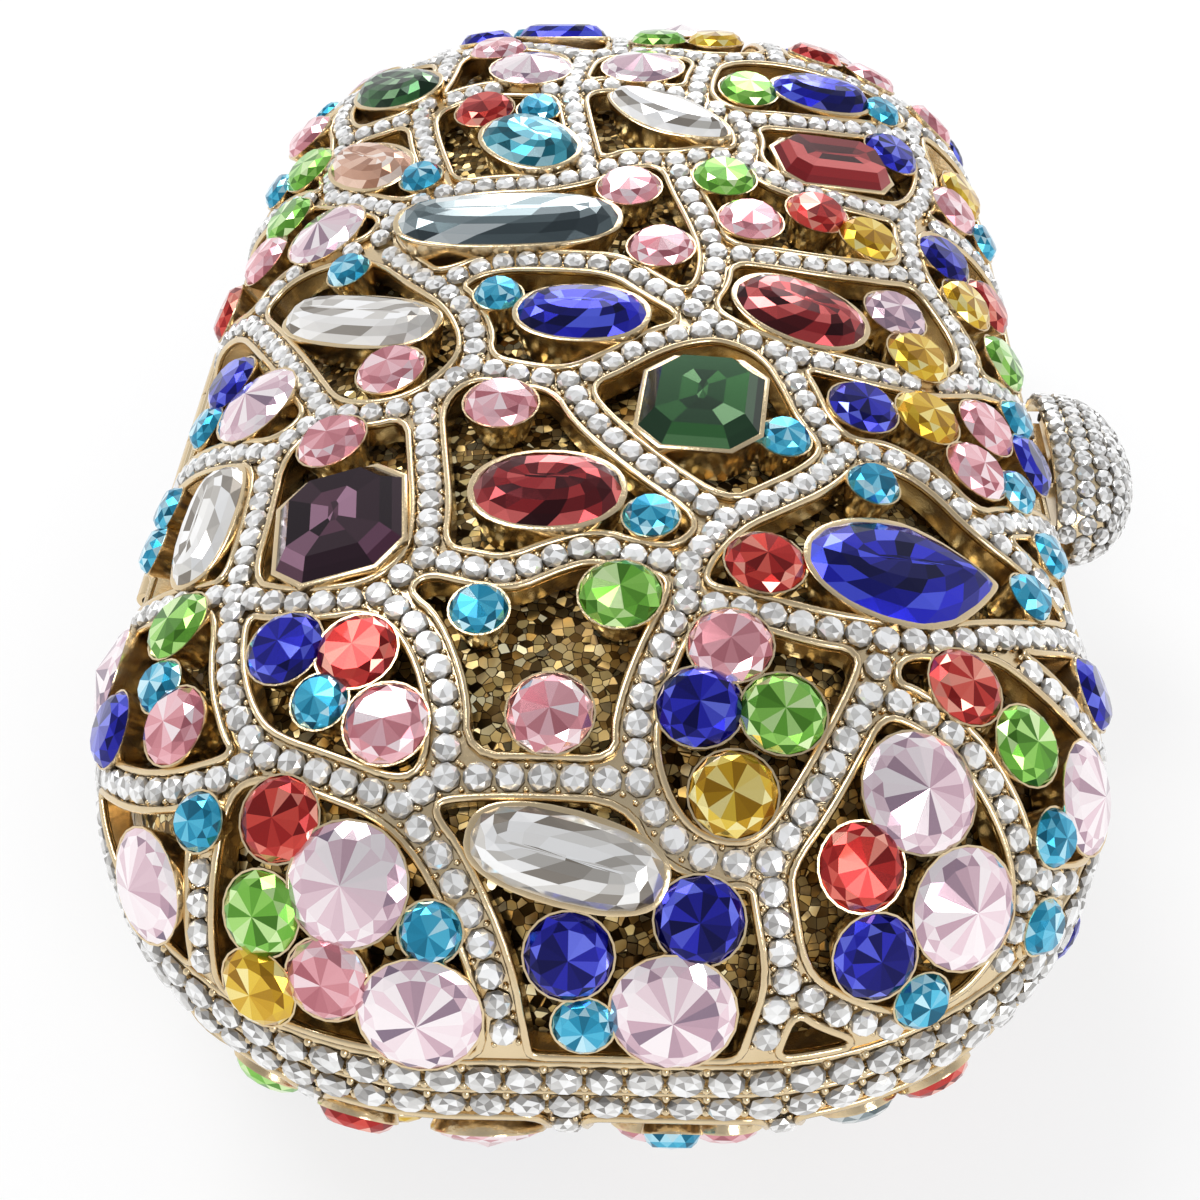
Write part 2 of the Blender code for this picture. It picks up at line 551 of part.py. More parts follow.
def clip_at_rim(points, distance):
    """Cut a flat outline along the loop at one distance from the seam."""
    limit = dome.radius - distance

    def beyond(point):
        return (point - dome.nearest_core(point)).length - limit

    def on_loop(point):
        core = dome.nearest_core(point)
        return core + (point - core).normalized() * limit

    def crossing(inside, outside):
        low, high = 0.0, 1.0
        for unused_round in range(30):
            middle = (low + high) / 2
            if beyond(inside.lerp(outside, middle)) < 0:
                low = middle
            else:
                high = middle
        return on_loop(inside.lerp(outside, low))

    count = len(points)
    start = next(k for k in range(count) if beyond(points[k]) < 0)
    turned = points[start:] + points[:start]
    kept = []
    leaving = None
    for point, following in zip(turned, turned[1:] + turned[:1]):
        if beyond(point) < 0:
            kept.append(point)
            if beyond(following) >= 0:
                leaving = crossing(point, following)
        elif beyond(following) < 0:
            entering = crossing(following, point)
            kept += [on_loop(place) for place in along_edge(leaving, entering)]
            kept.append(entering)
    return kept


def without_straight_points(points):
    """Leave out points where the outline hardly turns, while its edges stay short."""
    kept = list(points)
    k = 0
    while k < len(kept):
        before, point, after = kept[k - 1], kept[k], kept[(k + 1) % len(kept)]
        turn = (point - before).angle(after - point, 0.0)
        if turn < math.radians(straight_degrees) and (after - before).length < longest_edge:
            kept.pop(k)
        else:
            k += 1
    return kept


def window_outline(corner_names):
    """Outline of one window: the corners drawn in by half a vein, cut at the rim and rounded."""
    points = [dome.from_shares(vein_shares[name]) for name in corner_names.split()]
    if signed_area(points) < 0:
        points.reverse()
    fine = []
    for point, following in zip(points, points[1:] + points[:1]):
        fine += along_edge(point, following)
    drawn_in = []
    for before, point, after in zip(fine[-1:] + fine[:-1], fine, fine[1:] + fine[:1]):
        arriving = (point - before).normalized()
        leaving = (after - point).normalized()
        normal = Vector((-arriving.y - leaving.y, arriving.x + leaving.x))
        sharpness = max(normal.length_squared, mitre_limit)
        drawn_in.append(point + normal * (vein_width / sharpness))
    drawn_in = clip_at_rim(drawn_in, rim_height + fit_gap + border_rail)
    spaced = [drawn_in[0]]
    for point in drawn_in[1:]:
        if (point - spaced[-1]).length > merge_distance:
            spaced.append(point)
    if (spaced[0] - spaced[-1]).length < merge_distance:
        spaced.pop()
    spaced = without_straight_points(spaced)
    rounded = []
    for before, point, after in zip(spaced[-1:] + spaced[:-1], spaced, spaced[1:] + spaced[:1]):
        arriving = point - before
        leaving = after - point
        if arriving.angle(leaving, 0.0) < math.radians(corner_degrees):
            rounded.append(point)
            continue
        for edge, sign in ((arriving, -1), (leaving, 1)):
            cut = min(vein_corner, edge.length / 3)
            rounded.append(point + edge.normalized() * (sign * cut))
    return rounded


def flat_sheet(outlines):
    """Flat faces inside the first outline and outside the others."""
    curve = bpy.data.curves.new("flat_sheet", "CURVE")
    curve.dimensions = "2D"
    curve.fill_mode = "BOTH"
    for outline in outlines:
        spline = curve.splines.new("POLY")
        spline.points.add(len(outline) - 1)
        for target, point in zip(spline.points, outline):
            target.co = (point.x, point.y, 0, 1)
        spline.use_cyclic_u = True
    guide = bpy.data.objects.new("flat_sheet", curve)
    cutter_collection.objects.link(guide)
    evaluated = guide.evaluated_get(bpy.context.evaluated_depsgraph_get())
    mesh = bpy.data.meshes.new_from_object(evaluated)
    bpy.data.objects.remove(guide, do_unlink=True)
    bm = bmesh.new()
    bm.from_mesh(mesh)
    bpy.data.meshes.remove(mesh)
    bmesh.ops.remove_doubles(bm, verts=bm.verts[:], dist=weld_distance)
    bmesh.ops.triangulate(bm, faces=bm.faces[:])
    inner_edges = [edge for edge in bm.edges if len(edge.link_faces) == 2]
    bmesh.ops.beautify_fill(bm, faces=bm.faces[:], edges=inner_edges, method="AREA")
    return bm


def bent_slab(flat, outer, inner):
    """Bend a flat sheet over the dome at two depths and close its edges."""
    bm = bmesh.new()
    pairs = {}
    for vertex in flat.verts:
        place = vertex.co.to_2d()
        pairs[vertex.index] = (
            bm.verts.new(dome.place(place, -outer)[0]),
            bm.verts.new(dome.place(place, -inner)[0]),
        )
    for face in flat.faces:
        corners = [vertex.index for vertex in face.verts]
        bm.faces.new([pairs[k][0] for k in corners])
        bm.faces.new([pairs[k][1] for k in reversed(corners)])
    for edge in flat.edges:
        if len(edge.link_faces) == 1:
            first, second = (vertex.index for vertex in edge.verts)
            bm.faces.new((pairs[first][0], pairs[second][0], pairs[second][1], pairs[first][1]))
    bmesh.ops.triangulate(bm, faces=bm.faces[:])
    flat.free()
    return bm


class RoundStone:
    """One round stone in its cup, with a corner of its faceted outline turned to its neighbour."""

    def __init__(self, shares, diameter, sides, outlines):
        self.radius = diameter / 2
        self.lip = self.radius + cup_wall
        self.sides = sides
        self.flat = dome.keep_from_seam(dome.from_shares(shares), rim_height + fit_gap + self.radius)
        foot = self.radius * cup_foot_share
        at_veins = foot + (self.lip - foot) * cup_root / (cup_root + cup_lift)
        self.wanted = at_veins - cup_bite
        self.distance, self.vein = closest_vein(self.flat, outlines)
        self.on_casting = self.distance <= self.wanted
        self.set_down()
        self.toward = dome.place(self.vein)[0]

    def set_down(self):
        self.centre, self.normal = dome.place(self.flat)
        self.lip_centre = self.centre + self.normal * cup_lift

    def touches(self, other):
        flats_reach = other.lip * math.cos(math.pi / other.sides)
        return (self.lip_centre - other.lip_centre).length < self.lip + flats_reach - neighbour_bite

    def join_neighbour(self, stones):
        for other in stones:
            if other.on_casting and self.touches(other):
                self.on_casting = True
                self.toward = other.centre
                return True
        return False

    def join_vein(self):
        """Move the stone until its cup stands on the nearest vein."""
        self.flat += (self.vein - self.flat).normalized() * (self.distance - self.wanted)
        self.set_down()
        self.on_casting = True

    def solid(self, bm, crown, table):
        side = self.toward - self.centre
        side -= self.normal * side.dot(self.normal)
        side = side.normalized() if side.length > fit_gap / 10 else self.normal.orthogonal().normalized()
        other = self.normal.cross(side)
        turn = math.radians(cup_turn_degrees)
        angles = [turn + 2 * math.pi * k / self.sides for k in range(self.sides)]
        spokes = [side * math.cos(angle) + other * math.sin(angle) for angle in angles]
        low = self.centre - self.normal * cup_root
        foot = [low + spoke * (self.radius * cup_foot_share) for spoke in spokes]
        lip = [self.centre + spoke * self.lip + self.normal * cup_lift for spoke in spokes]
        top = self.centre + self.normal * (cup_lift + crown)
        if table:
            edge = [top + spoke * (self.radius * chaton_table_share) for spoke in spokes]
            loft(bm, (foot, lip, edge))
        else:
            loft(bm, (foot, lip), high_centre=top)


def closest_vein(flat, outlines):
    """Distance and place of the nearest window edge; zero where the point is on a vein."""
    best = None
    inside = False
    for outline in outlines:
        for point, following in zip(outline, outline[1:] + outline[:1]):
            run = following - point
            along = max(0.0, min(1.0, (flat - point).dot(run) / run.length_squared))
            nearest = point + run * along
            distance = (flat - nearest).length
            if best is None or distance < best[0]:
                best = (distance, nearest)
            if (point.y > flat.y) != (following.y > flat.y):
                crossing_x = point.x + (flat.y - point.y) / run.y * run.x
                inside = inside != (crossing_x > flat.x)
    return best if inside else (0.0, flat)


def settle_round_stones(outlines, plain):
    """All round stones; one that reaches neither a vein nor a neighbour moves to its vein."""
    stones = []
    for shares_of_size, diameter, sides in (
        (large_stone_shares, large_diameter, plain_large_sides if plain else large_sides),
        (middle_stone_shares, middle_diameter, plain_middle_sides if plain else middle_sides),
        (small_stone_shares, small_diameter, plain_small_sides if plain else small_sides),
    ):
        stones += [RoundStone(shares, diameter, sides, outlines) for shares in shares_of_size]
    waiting = [stone for stone in stones if not stone.on_casting]
    while waiting:
        joined = [stone for stone in waiting if stone.join_neighbour(stones)]
        if not joined:
            min(waiting, key=lambda stone: stone.distance - stone.wanted).join_vein()
        waiting = [stone for stone in waiting if not stone.on_casting]
    return stones


def stone_solids(stones, plain):
    """Solids of round stones; those of the hidden half have no table facet."""
    bm = bmesh.new()
    for stone in stones:
        diameter = stone.radius * 2
        crown = pointed_crown if diameter == large_diameter else chaton_crown
        stone.solid(bm, crown, table=diameter == middle_diameter and not plain)
    return bm


def cut_outline(cut, length, width, plain):
    """Outline of a fancy stone, counter-clockwise, with its length along X."""
    half_length = length / 2
    half_width = width / 2
    if cut == "octagon":
        corner = half_width * octagon_corner_share * 2
        x_near = half_length - corner
        y_near = half_width - corner
        return [
            Vector(point) for point in (
                (half_length, -y_near), (half_length, y_near), (x_near, half_width),
                (-x_near, half_width), (-half_length, y_near), (-half_length, -y_near),
                (-x_near, -half_width), (x_near, -half_width),
            )
        ]
    outline = []
    sides = plain_oval_sides if plain else oval_sides
    for k in range(sides):
        angle = 2 * math.pi * k / sides
        x = math.cos(angle)
        y = math.sin(angle)
        if cut == "navette":
            y *= 1 - navette_point_share * x * x
        if cut == "pear":
            y *= 1 - pear_point_share * max(0.0, x) ** 2
        outline.append(Vector((x * half_length, y * half_width)))
    return outline


def grown(outline, amount):
    """Outline moved outward by an amount from its middle."""
    return [point + point.normalized() * amount for point in outline]


class StoneSeat:
    """Where one fancy stone sits: its centre, axes and the heights of its bezel."""

    def __init__(self, name, plain=False):
        cut, degrees = fancy_stones[name]
        length, width = (share * fancy_length for share in fancy_size_shares[name])
        self.flat = dome.from_shares(fancy_place_shares[name])
        self.outline = cut_outline(cut, length, width, plain)
        self.turn = math.radians(degrees)
        self.centre, self.normal = dome.place(self.flat)
        end = Vector((math.cos(self.turn), math.sin(self.turn))) * (length / 2)
        far_point, unused_normal = dome.place(self.flat + end)
        drop = (self.centre - far_point).dot(self.normal)
        self.lip = bezel_lift - drop / 2
        if name in level_stones:
            self.normal = Vector((0, 0, 1))
            self.lip = half_height + rest_proud - fancy_crown - self.centre.z
        beyond, unused_normal = dome.place(self.flat + Vector((fit_gap, 0)))
        along = beyond - self.centre
        self.side = (along - self.normal * along.dot(self.normal)).normalized()
        self.other = self.normal.cross(self.side)

    def to_case(self, point, lift):
        x = point.x * math.cos(self.turn) - point.y * math.sin(self.turn)
        y = point.x * math.sin(self.turn) + point.y * math.cos(self.turn)
        return self.centre + self.side * x + self.other * y + self.normal * lift

    def foot_point(self, point):
        """Foot of the bezel, which follows the dome under the stone."""
        x = point.x * math.cos(self.turn) - point.y * math.sin(self.turn)
        y = point.x * math.sin(self.turn) + point.y * math.cos(self.turn)
        return dome.place(self.flat + Vector((x, y)) * bezel_foot_share, -bezel_root)[0]

    def solid(self, bm, plain):
        lip = [self.to_case(point, self.lip) for point in grown(self.outline, bezel_wall)]
        table_lift = self.lip + fancy_crown
        shoulder_lift = self.lip + fancy_shoulder
        shoulder = [self.to_case(point * shoulder_share, shoulder_lift) for point in self.outline]
        table = [self.to_case(point * table_share, table_lift) for point in self.outline]
        foot = [self.foot_point(point) for point in self.outline]
        rings = (foot, lip, table) if plain else (foot, lip, shoulder, table)
        loft(bm, rings, low_centre=dome.place(self.flat, -bezel_root)[0])

    def pocket(self, bm):
        """Straight hole that clears the bezel where it reaches into a vein or a cup."""
        outline = grown(self.outline, bezel_wall + fit_gap)
        low = [self.to_case(point, -bezel_root - cutter_overrun) for point in outline]
        high = [self.to_case(point, cutter_overrun) for point in outline]
        loft(bm, (low, high))


def make_lattice(name, parent, outlines, stones, plain):
    sheet = flat_sheet([dome.seam_loop(rim_height + fit_gap)] + outlines)
    lattice = make_object(name, bent_slab(sheet, 0.0, casting_depth), "pale_gold", parent)
    cups = stone_solids(stones, plain)
    combine(lattice, make_cutter(name + "_cups", cups, parent), "UNION", overlapping=True)
    pockets = bmesh.new()
    for stone in fancy_stones:
        StoneSeat(stone).pocket(pockets)
    combine(lattice, make_cutter(name + "_pockets", pockets, parent), "DIFFERENCE", overlapping=True)
    return lattice


def make_rim(name, parent):
    """Frame along the seam: outer lip, shallow groove for the crystals, inner lip."""
    low = seam_gap / 2
    section = (
        (low, 0.0), (rim_lip, 0.0), (rim_lip, rim_groove), (rim_height - rim_lip, rim_groove),
        (rim_height - rim_lip, 0.0), (rim_height, 0.0), (rim_height, casting_depth),
        (low, casting_depth),
    )
    rings = []
    for distance, depth in section:
        rings.append([dome.place(flat, -depth)[0] for flat in dome.seam_loop(distance)])
    bm = bmesh.new()
    loft(bm, rings, closed_ring=True)
    return make_object(name, bm, "pale_gold", parent)


def make_bowl(name, parent, material, outer, wall, edge_distance):
    """Bowl of even wall behind the casting, in rows from its edge to the crown."""
    bm_flat = bmesh.new()
    distances = [edge_distance]
    for share in bowl_row_shares:
        distances.append(dome.radius * share)
    rows = []
    for distance in distances:
        rows.append([bm_flat.verts.new((*point, 0)) for point in dome.seam_loop(distance)])
    for low, high in zip(rows, rows[1:]):
        count = len(low)
        for k in range(count):
            following = (k + 1) % count
            bm_flat.faces.new((low[k], low[following], high[following], high[k]))
    bm_flat.faces.new(rows[-1])
    bmesh.ops.triangulate(bm_flat, faces=bm_flat.faces[:])
    bm_flat.verts.index_update()
    smooth(make_object(name, bent_slab(bm_flat, outer, outer + wall), material, parent))


def make_fancy_stones(prefix, parent, plain):
    for stone in fancy_stones:
        bm = bmesh.new()
        StoneSeat(stone, plain).solid(bm, plain)
        glass = glass_of_stone[stone.split("_")[0]]
        make_object(f"{prefix}_{stone}", bm, glass, parent)


def make_half(prefix, parent, plain):
    outlines = [window_outline(corner_names) for corner_names in windows.values()]
    stones = settle_round_stones(outlines, plain)
    make_lattice(f"{prefix}_lattice", parent, outlines, stones, plain)
    make_rim(f"{prefix}_rim", parent)
    shell_top = casting_depth + shell_clearance
    lining_top = shell_top + shell_wall + fit_gap
    shell_edge = rim_lip + seam_gap
    make_bowl(f"{prefix}_shell", parent, "glitter_bronze", shell_top, shell_wall, shell_edge)
    make_bowl(f"{prefix}_lining", parent, "cream_satin", lining_top, lining_wall, rim_lip)
    make_fancy_stones(prefix, parent, plain)


hinge_barrel_radius = hinge_pin_radius + fit_gap + hinge_barrel_wall
hinge_x = -(case_width / 2 + fit_gap + hinge_barrel_radius)


def make_hinge_leaf(name, parent, mates, side):
    """Flat leaf on a rim's outer face with its share of the knuckles; side is +1 for the lid."""
    inner_x = -(case_width / 2 + fit_gap) - hinge_x
    outer_x = inner_x - leaf_thickness
    plate_low = hinge_barrel_radius + fit_gap
    half_length = hinge_length / 2
    pitch = hinge_length / hinge_knuckles
    bm = bmesh.new()
    heights = sorted((side * plate_low, side * leaf_top))
    add_box(bm, (outer_x, -half_length, heights[0]), (inner_x, half_length, heights[1]))
    leaf = make_object(name, bm, "pale_gold", parent)
    tabs = bmesh.new()
    barrels = bmesh.new()
    for k in mates:
        low_y = -half_length + k * pitch + fit_gap / 2
        high_y = low_y + pitch - fit_gap
        heights = sorted((side * fit_gap, side * (plate_low + leaf_thickness)))
        low = (outer_x + tab_relief, low_y + tab_relief, heights[0])
        high = (inner_x - tab_relief, high_y - tab_relief, heights[1])
        add_box(tabs, low, high)
        add_rod(barrels, 0, 0, low_y, high_y, hinge_barrel_radius)
    bore = bmesh.new()
    add_rod(bore, 0, 0, -hinge_length, hinge_length, hinge_pin_radius + fit_gap)
    combine(leaf, make_cutter(name + "_tabs", tabs, parent), "UNION")
    combine(leaf, make_cutter(name + "_barrels", barrels, parent), "UNION")
    combine(leaf, make_cutter(name + "_bore", bore, parent), "DIFFERENCE")
    return leaf


clasp_barrel_radius = clasp_pin_radius + fit_gap + clasp_barrel_wall
clasp_x = case_width / 2 + fit_gap + clasp_plate_thickness + clasp_barrel_radius


def make_clasp_base(parent):
    """Plate on the back rim with two ears for the pin and a tapered tail past the far end."""
    plate_x = case_width / 2 + fit_gap
    plate_low = -(clasp_pin_drop - clasp_barrel_radius - fit_gap)
    half_length = clasp_plate_length / 2
    bm = bmesh.new()
    add_box(
        bm, (plate_x, -half_length, plate_low),
        (plate_x + clasp_plate_thickness, half_length, -clasp_plate_top),
    )
    base = make_object("clasp_base", bm, "pale_gold", parent)
    arms = bmesh.new()
    barrels = bmesh.new()
    for sign in (-1, 1):
        low_y = sign * ear_spread / 2 - ear_width / 2
        high_y = low_y + ear_width
        add_box(
            arms, (plate_x + tab_relief, low_y + tab_relief, -clasp_pin_drop),
            (clasp_x, high_y - tab_relief, plate_low + clasp_plate_thickness),
        )
        add_rod(barrels, clasp_x, -clasp_pin_drop, low_y, high_y, clasp_barrel_radius)
    bore = bmesh.new()
    add_rod(bore, clasp_x, -clasp_pin_drop, -clasp_length, clasp_length, clasp_pin_radius + fit_gap)
    combine(base, make_cutter("clasp_base_arms", arms, parent), "UNION")
    combine(base, make_cutter("clasp_base_barrels", barrels, parent), "UNION")
    combine(base, make_cutter("clasp_base_bore", bore, parent), "DIFFERENCE")
    return base


def make_clasp_tail(parent):
    """Plain tapered cheek on the back rim beyond the thumb piece's far end."""
    start = clasp_plate_length / 2 + fit_gap
    middle_z = -(tail_height / 2 + seam_gap)
    inner_x = case_width / 2 + fit_gap
    rings = []
    for along, spread in tail_profile_shares:
        y = start + tail_length * along
        height = tail_height / 2 * spread
        depth = tail_depth * spread
        shoulder_x = inner_x + depth * tail_shoulder_share
        shoulder_z = height * tail_shoulder_share
        rings.append([
            Vector((inner_x, y, middle_z - height)),
            Vector((shoulder_x, y, middle_z - shoulder_z)),
            Vector((inner_x + depth, y, middle_z)),
            Vector((shoulder_x, y, middle_z + shoulder_z)),
            Vector((inner_x, y, middle_z + height)),
        ])
    bm = bmesh.new()
    loft(bm, rings)
    return make_object("clasp_tail", bm, "pale_gold", parent)


def make_thumb_piece(parent):
    """Domed thumb piece with two lugs on the pin and a hook over the catch."""
    back_x = clasp_barrel_radius + fit_gap
    rise = clasp_pin_drop
    bm = bmesh.new()
    size = Matrix.Diagonal((clasp_depth, clasp_length / 2, clasp_height / 2, 1))
    tilt = Matrix.Rotation(math.pi / 2, 4, "Y")
    bmesh.ops.create_uvsphere(
        bm, u_segments=20, v_segments=10, radius=1,
        matrix=Matrix.Translation((back_x, 0, rise)) @ size @ tilt,
    )
    bmesh.ops.bisect_plane(
        bm, geom=bm.verts[:] + bm.edges[:] + bm.faces[:], dist=weld_distance,
        plane_co=(back_x, 0, rise), plane_no=(1, 0, 0), clear_inner=True,
    )
    bmesh.ops.holes_fill(bm, edges=bm.edges[:])
    thumb = make_object("clasp_thumb_piece", bm, "crystal", parent)
    lugs = bmesh.new()
    barrels = bmesh.new()
    for sign in (-1, 1):
        low_y = sign * lug_spread / 2 - lug_width / 2
        high_y = low_y + lug_width
        half = clasp_barrel_radius * lug_half_share
        low = (0, low_y + tab_relief, -half)
        high = (back_x + lug_bite, high_y - tab_relief, half)
        add_box(lugs, low, high)
        add_rod(barrels, 0, 0, low_y, high_y, clasp_barrel_radius)
    hook_x = case_width / 2 + fit_gap + clasp_plate_thickness + catch_lip + fit_gap - clasp_x
    hook_z = rise + catch_top + fit_gap
    hook = bmesh.new()
    hook_top = hook_z + hook_height
    add_box(hook, (hook_x, -hook_length / 2, hook_z), (back_x + lug_bite, hook_length / 2, hook_top))
    bore = bmesh.new()
    add_rod(bore, 0, 0, -clasp_length, clasp_length, clasp_pin_radius + fit_gap)
    combine(thumb, make_cutter("clasp_lug_arms", lugs, parent), "UNION")
    combine(thumb, make_cutter("clasp_lug_barrels", barrels, parent), "UNION")
    combine(thumb, make_cutter("clasp_hook", hook, parent), "UNION")
    combine(thumb, make_cutter("clasp_lug_bore", bore, parent), "DIFFERENCE")
    return thumb


def make_catch(parent):
    """Catch on the lid rim: a plate with a lip that the hook reaches over."""
    plate_x = case_width / 2 + fit_gap
    face_x = plate_x + clasp_plate_thickness
    outline = (
        (plate_x, catch_bottom), (face_x, catch_bottom), (face_x, catch_top - catch_lip_height),
        (face_x + catch_lip, catch_top - catch_lip_height), (face_x + catch_lip, catch_top),
        (plate_x, catch_top),
    )
    rings = []
    for y in (-catch_length / 2, catch_length / 2):
        rings.append([Vector((x, y, z)) for x, z in outline])
    bm = bmesh.new()
    loft(bm, rings)
    return make_object("clasp_catch", bm, "pale_gold", parent)


def make_spring(parent):
    """Leaf spring that stands on the clasp's plate and leans on the thumb piece."""
    foot_x = case_width / 2 + fit_gap + clasp_plate_thickness + fit_gap
    low_z = -(clasp_pin_drop - clasp_barrel_radius - fit_gap)
    tip_x = clasp_x + clasp_barrel_radius - spring_thickness
    line = ((foot_x, low_z), (foot_x, -clasp_plate_top - spring_thickness), (tip_x, spring_top))
    rings = []
    for y in (-spring_width / 2, spring_width / 2):
        outer = [Vector((x + spring_thickness, y, z)) for x, z in line]
        inner = [Vector((x, y, z)) for x, z in reversed(line)]
        rings.append(outer + inner)
    bm = bmesh.new()
    loft(bm, rings)
    return make_object("clasp_spring", bm, "steel", parent)


def make_empty(name, place, parent=None):
    empty = bpy.data.objects.new(name, None)
    empty.location = place
    empty.parent = parent
    part_collection.objects.link(empty)
    return empty


def main():
    global part_collection, cutter_collection
    clear_scene()
    part_collection = make_collection("evening_clutch")
    cutter_collection = make_collection("cutters")
    make_materials()

    seat = StoneSeat(rest_stone)
    seam_height = half_height + rest_proud
    case = make_empty("case_centre", (-seat.centre.x, seat.centre.y, seam_height))

    back = make_empty("back_half", (0, 0, 0), case)
    back.rotation_euler = (math.pi, 0, 0)
    make_half("back", back, plain=True)

    lid = make_empty("lid_hinge_axis", (hinge_x, 0, 0), case)
    lid_centre = make_empty("lid_centre", (-hinge_x, 0, 0), lid)
    make_half("lid", lid_centre, plain=False)

    make_hinge_leaf("hinge_leaf_back", make_empty("hinge_back_axis", (hinge_x, 0, 0), case), (0, 2, 4), -1)
    make_hinge_leaf("hinge_leaf_lid", lid, (1, 3), 1)
    pin = bmesh.new()
    add_rod(pin, hinge_x, 0, -hinge_length / 2, hinge_length / 2, hinge_pin_radius)
    make_object("hinge_pin", pin, "steel", case)

    make_clasp_base(case)
    make_clasp_tail(case)
    make_spring(case)
    clasp_axis = make_empty("clasp_axis", (clasp_x, 0, -clasp_pin_drop), case)
    make_thumb_piece(clasp_axis)
    clasp_pin = bmesh.new()
    pin_half = ear_spread / 2 + ear_width / 2
    add_rod(clasp_pin, clasp_x, -clasp_pin_drop, -pin_half, pin_half, clasp_pin_radius)
    make_object("clasp_pin", clasp_pin, "steel", case)
    make_catch(lid_centre)


main()
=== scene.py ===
# %% [markdown]
# # An evening clutch, dressed over its working frame
#
# The clutch is a hard oval box in two halves. Each half is a thin bowl with a glitter coat,
# and over it lies a cast net of raised veins. Small clear crystals run along every vein,
# large faceted stones sit in the windows between them, and a double row of crystals goes
# round the seam. The frame that is loaded here knows where everything is and what moves.
# This lesson puts the fine surfaces on it: it never moves or resizes a piece of the frame.

# %% Load the frame
import itertools
import math

import bmesh
import bpy
import numpy as np
from mathutils import Matrix, Vector, geometry


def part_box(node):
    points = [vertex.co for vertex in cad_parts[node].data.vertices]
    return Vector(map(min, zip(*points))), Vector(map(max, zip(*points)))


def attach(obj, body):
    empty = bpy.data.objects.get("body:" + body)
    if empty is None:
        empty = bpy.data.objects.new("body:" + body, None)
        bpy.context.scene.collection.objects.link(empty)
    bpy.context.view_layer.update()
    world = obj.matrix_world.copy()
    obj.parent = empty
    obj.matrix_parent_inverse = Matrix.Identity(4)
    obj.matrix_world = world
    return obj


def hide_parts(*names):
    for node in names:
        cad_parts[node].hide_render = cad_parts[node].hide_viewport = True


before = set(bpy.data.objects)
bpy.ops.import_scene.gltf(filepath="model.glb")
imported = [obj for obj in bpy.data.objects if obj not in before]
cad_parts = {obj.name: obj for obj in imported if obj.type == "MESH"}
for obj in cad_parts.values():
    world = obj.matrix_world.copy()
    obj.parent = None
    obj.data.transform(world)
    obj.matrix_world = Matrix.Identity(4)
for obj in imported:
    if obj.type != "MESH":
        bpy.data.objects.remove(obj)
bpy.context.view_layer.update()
rim_low, rim_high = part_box("lid_rim")
case_width = rim_high.x - rim_low.x
case_length = rim_high.y - rim_low.y
back_rim_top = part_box("back_rim")[1].z
case_centre = np.array((
    (rim_low.x + rim_high.x) / 2, (rim_low.y + rim_high.y) / 2, (rim_low.z + back_rim_top) / 2,
))
print("case", round(case_width * 1000, 1), "x", round(case_length * 1000, 1), "mm")

# %% [markdown]
# ## Camera
#
# The photograph looks down at about 45 degrees from just past the near end, close enough
# that the far end is drawn in. A longer lens further off would flatten that, so the camera
# has the same short distance, worked out from how fast equal stones shrink towards the back.

# %% Camera
focal_pixels = 1663.1
frame_pixels = 1200
sensor_width = 36.0
nearest_seen = 0.005
camera_offset = Vector((0.0064, -0.1683, 0.1467))
pitch = 0.7919
yaw = -0.0493
roll = -0.0239


def in_scene(name, data):
    """A new object that shows the data, linked into the scene."""
    item = bpy.data.objects.new(name, data)
    bpy.context.scene.collection.objects.link(item)
    return item


look = Vector((math.sin(yaw) * math.cos(pitch), math.cos(yaw) * math.cos(pitch), -math.sin(pitch)))
level = look.cross(Vector((0, 0, 1))).normalized()
rise = level.cross(look)
right = level * math.cos(roll) + rise * math.sin(roll)
up = rise * math.cos(roll) - level * math.sin(roll)
camera_data = bpy.data.cameras.new("camera")
camera_data.lens = focal_pixels / frame_pixels * sensor_width
camera_data.sensor_width = sensor_width
camera_data.clip_start = nearest_seen
camera = in_scene("camera", camera_data)
camera.matrix_world = (
    Matrix.Translation(Vector(case_centre) + camera_offset)
    @ Matrix((right, up, -look)).transposed().to_4x4()
)
bpy.context.scene.camera = camera
print("lens", round(camera_data.lens, 2), "mm")

# %% [markdown]
# ## Writing materials as sums
#
# A material is a graph of small nodes. Wiring each one by hand hides the idea, so one class
# wraps a socket: plain arithmetic on it adds the Math nodes, and its node method adds any
# other kind, with its settings first and then what goes into its sockets. A finish is then a
# function that says what each socket of its shader gets, a constant or something that varies.


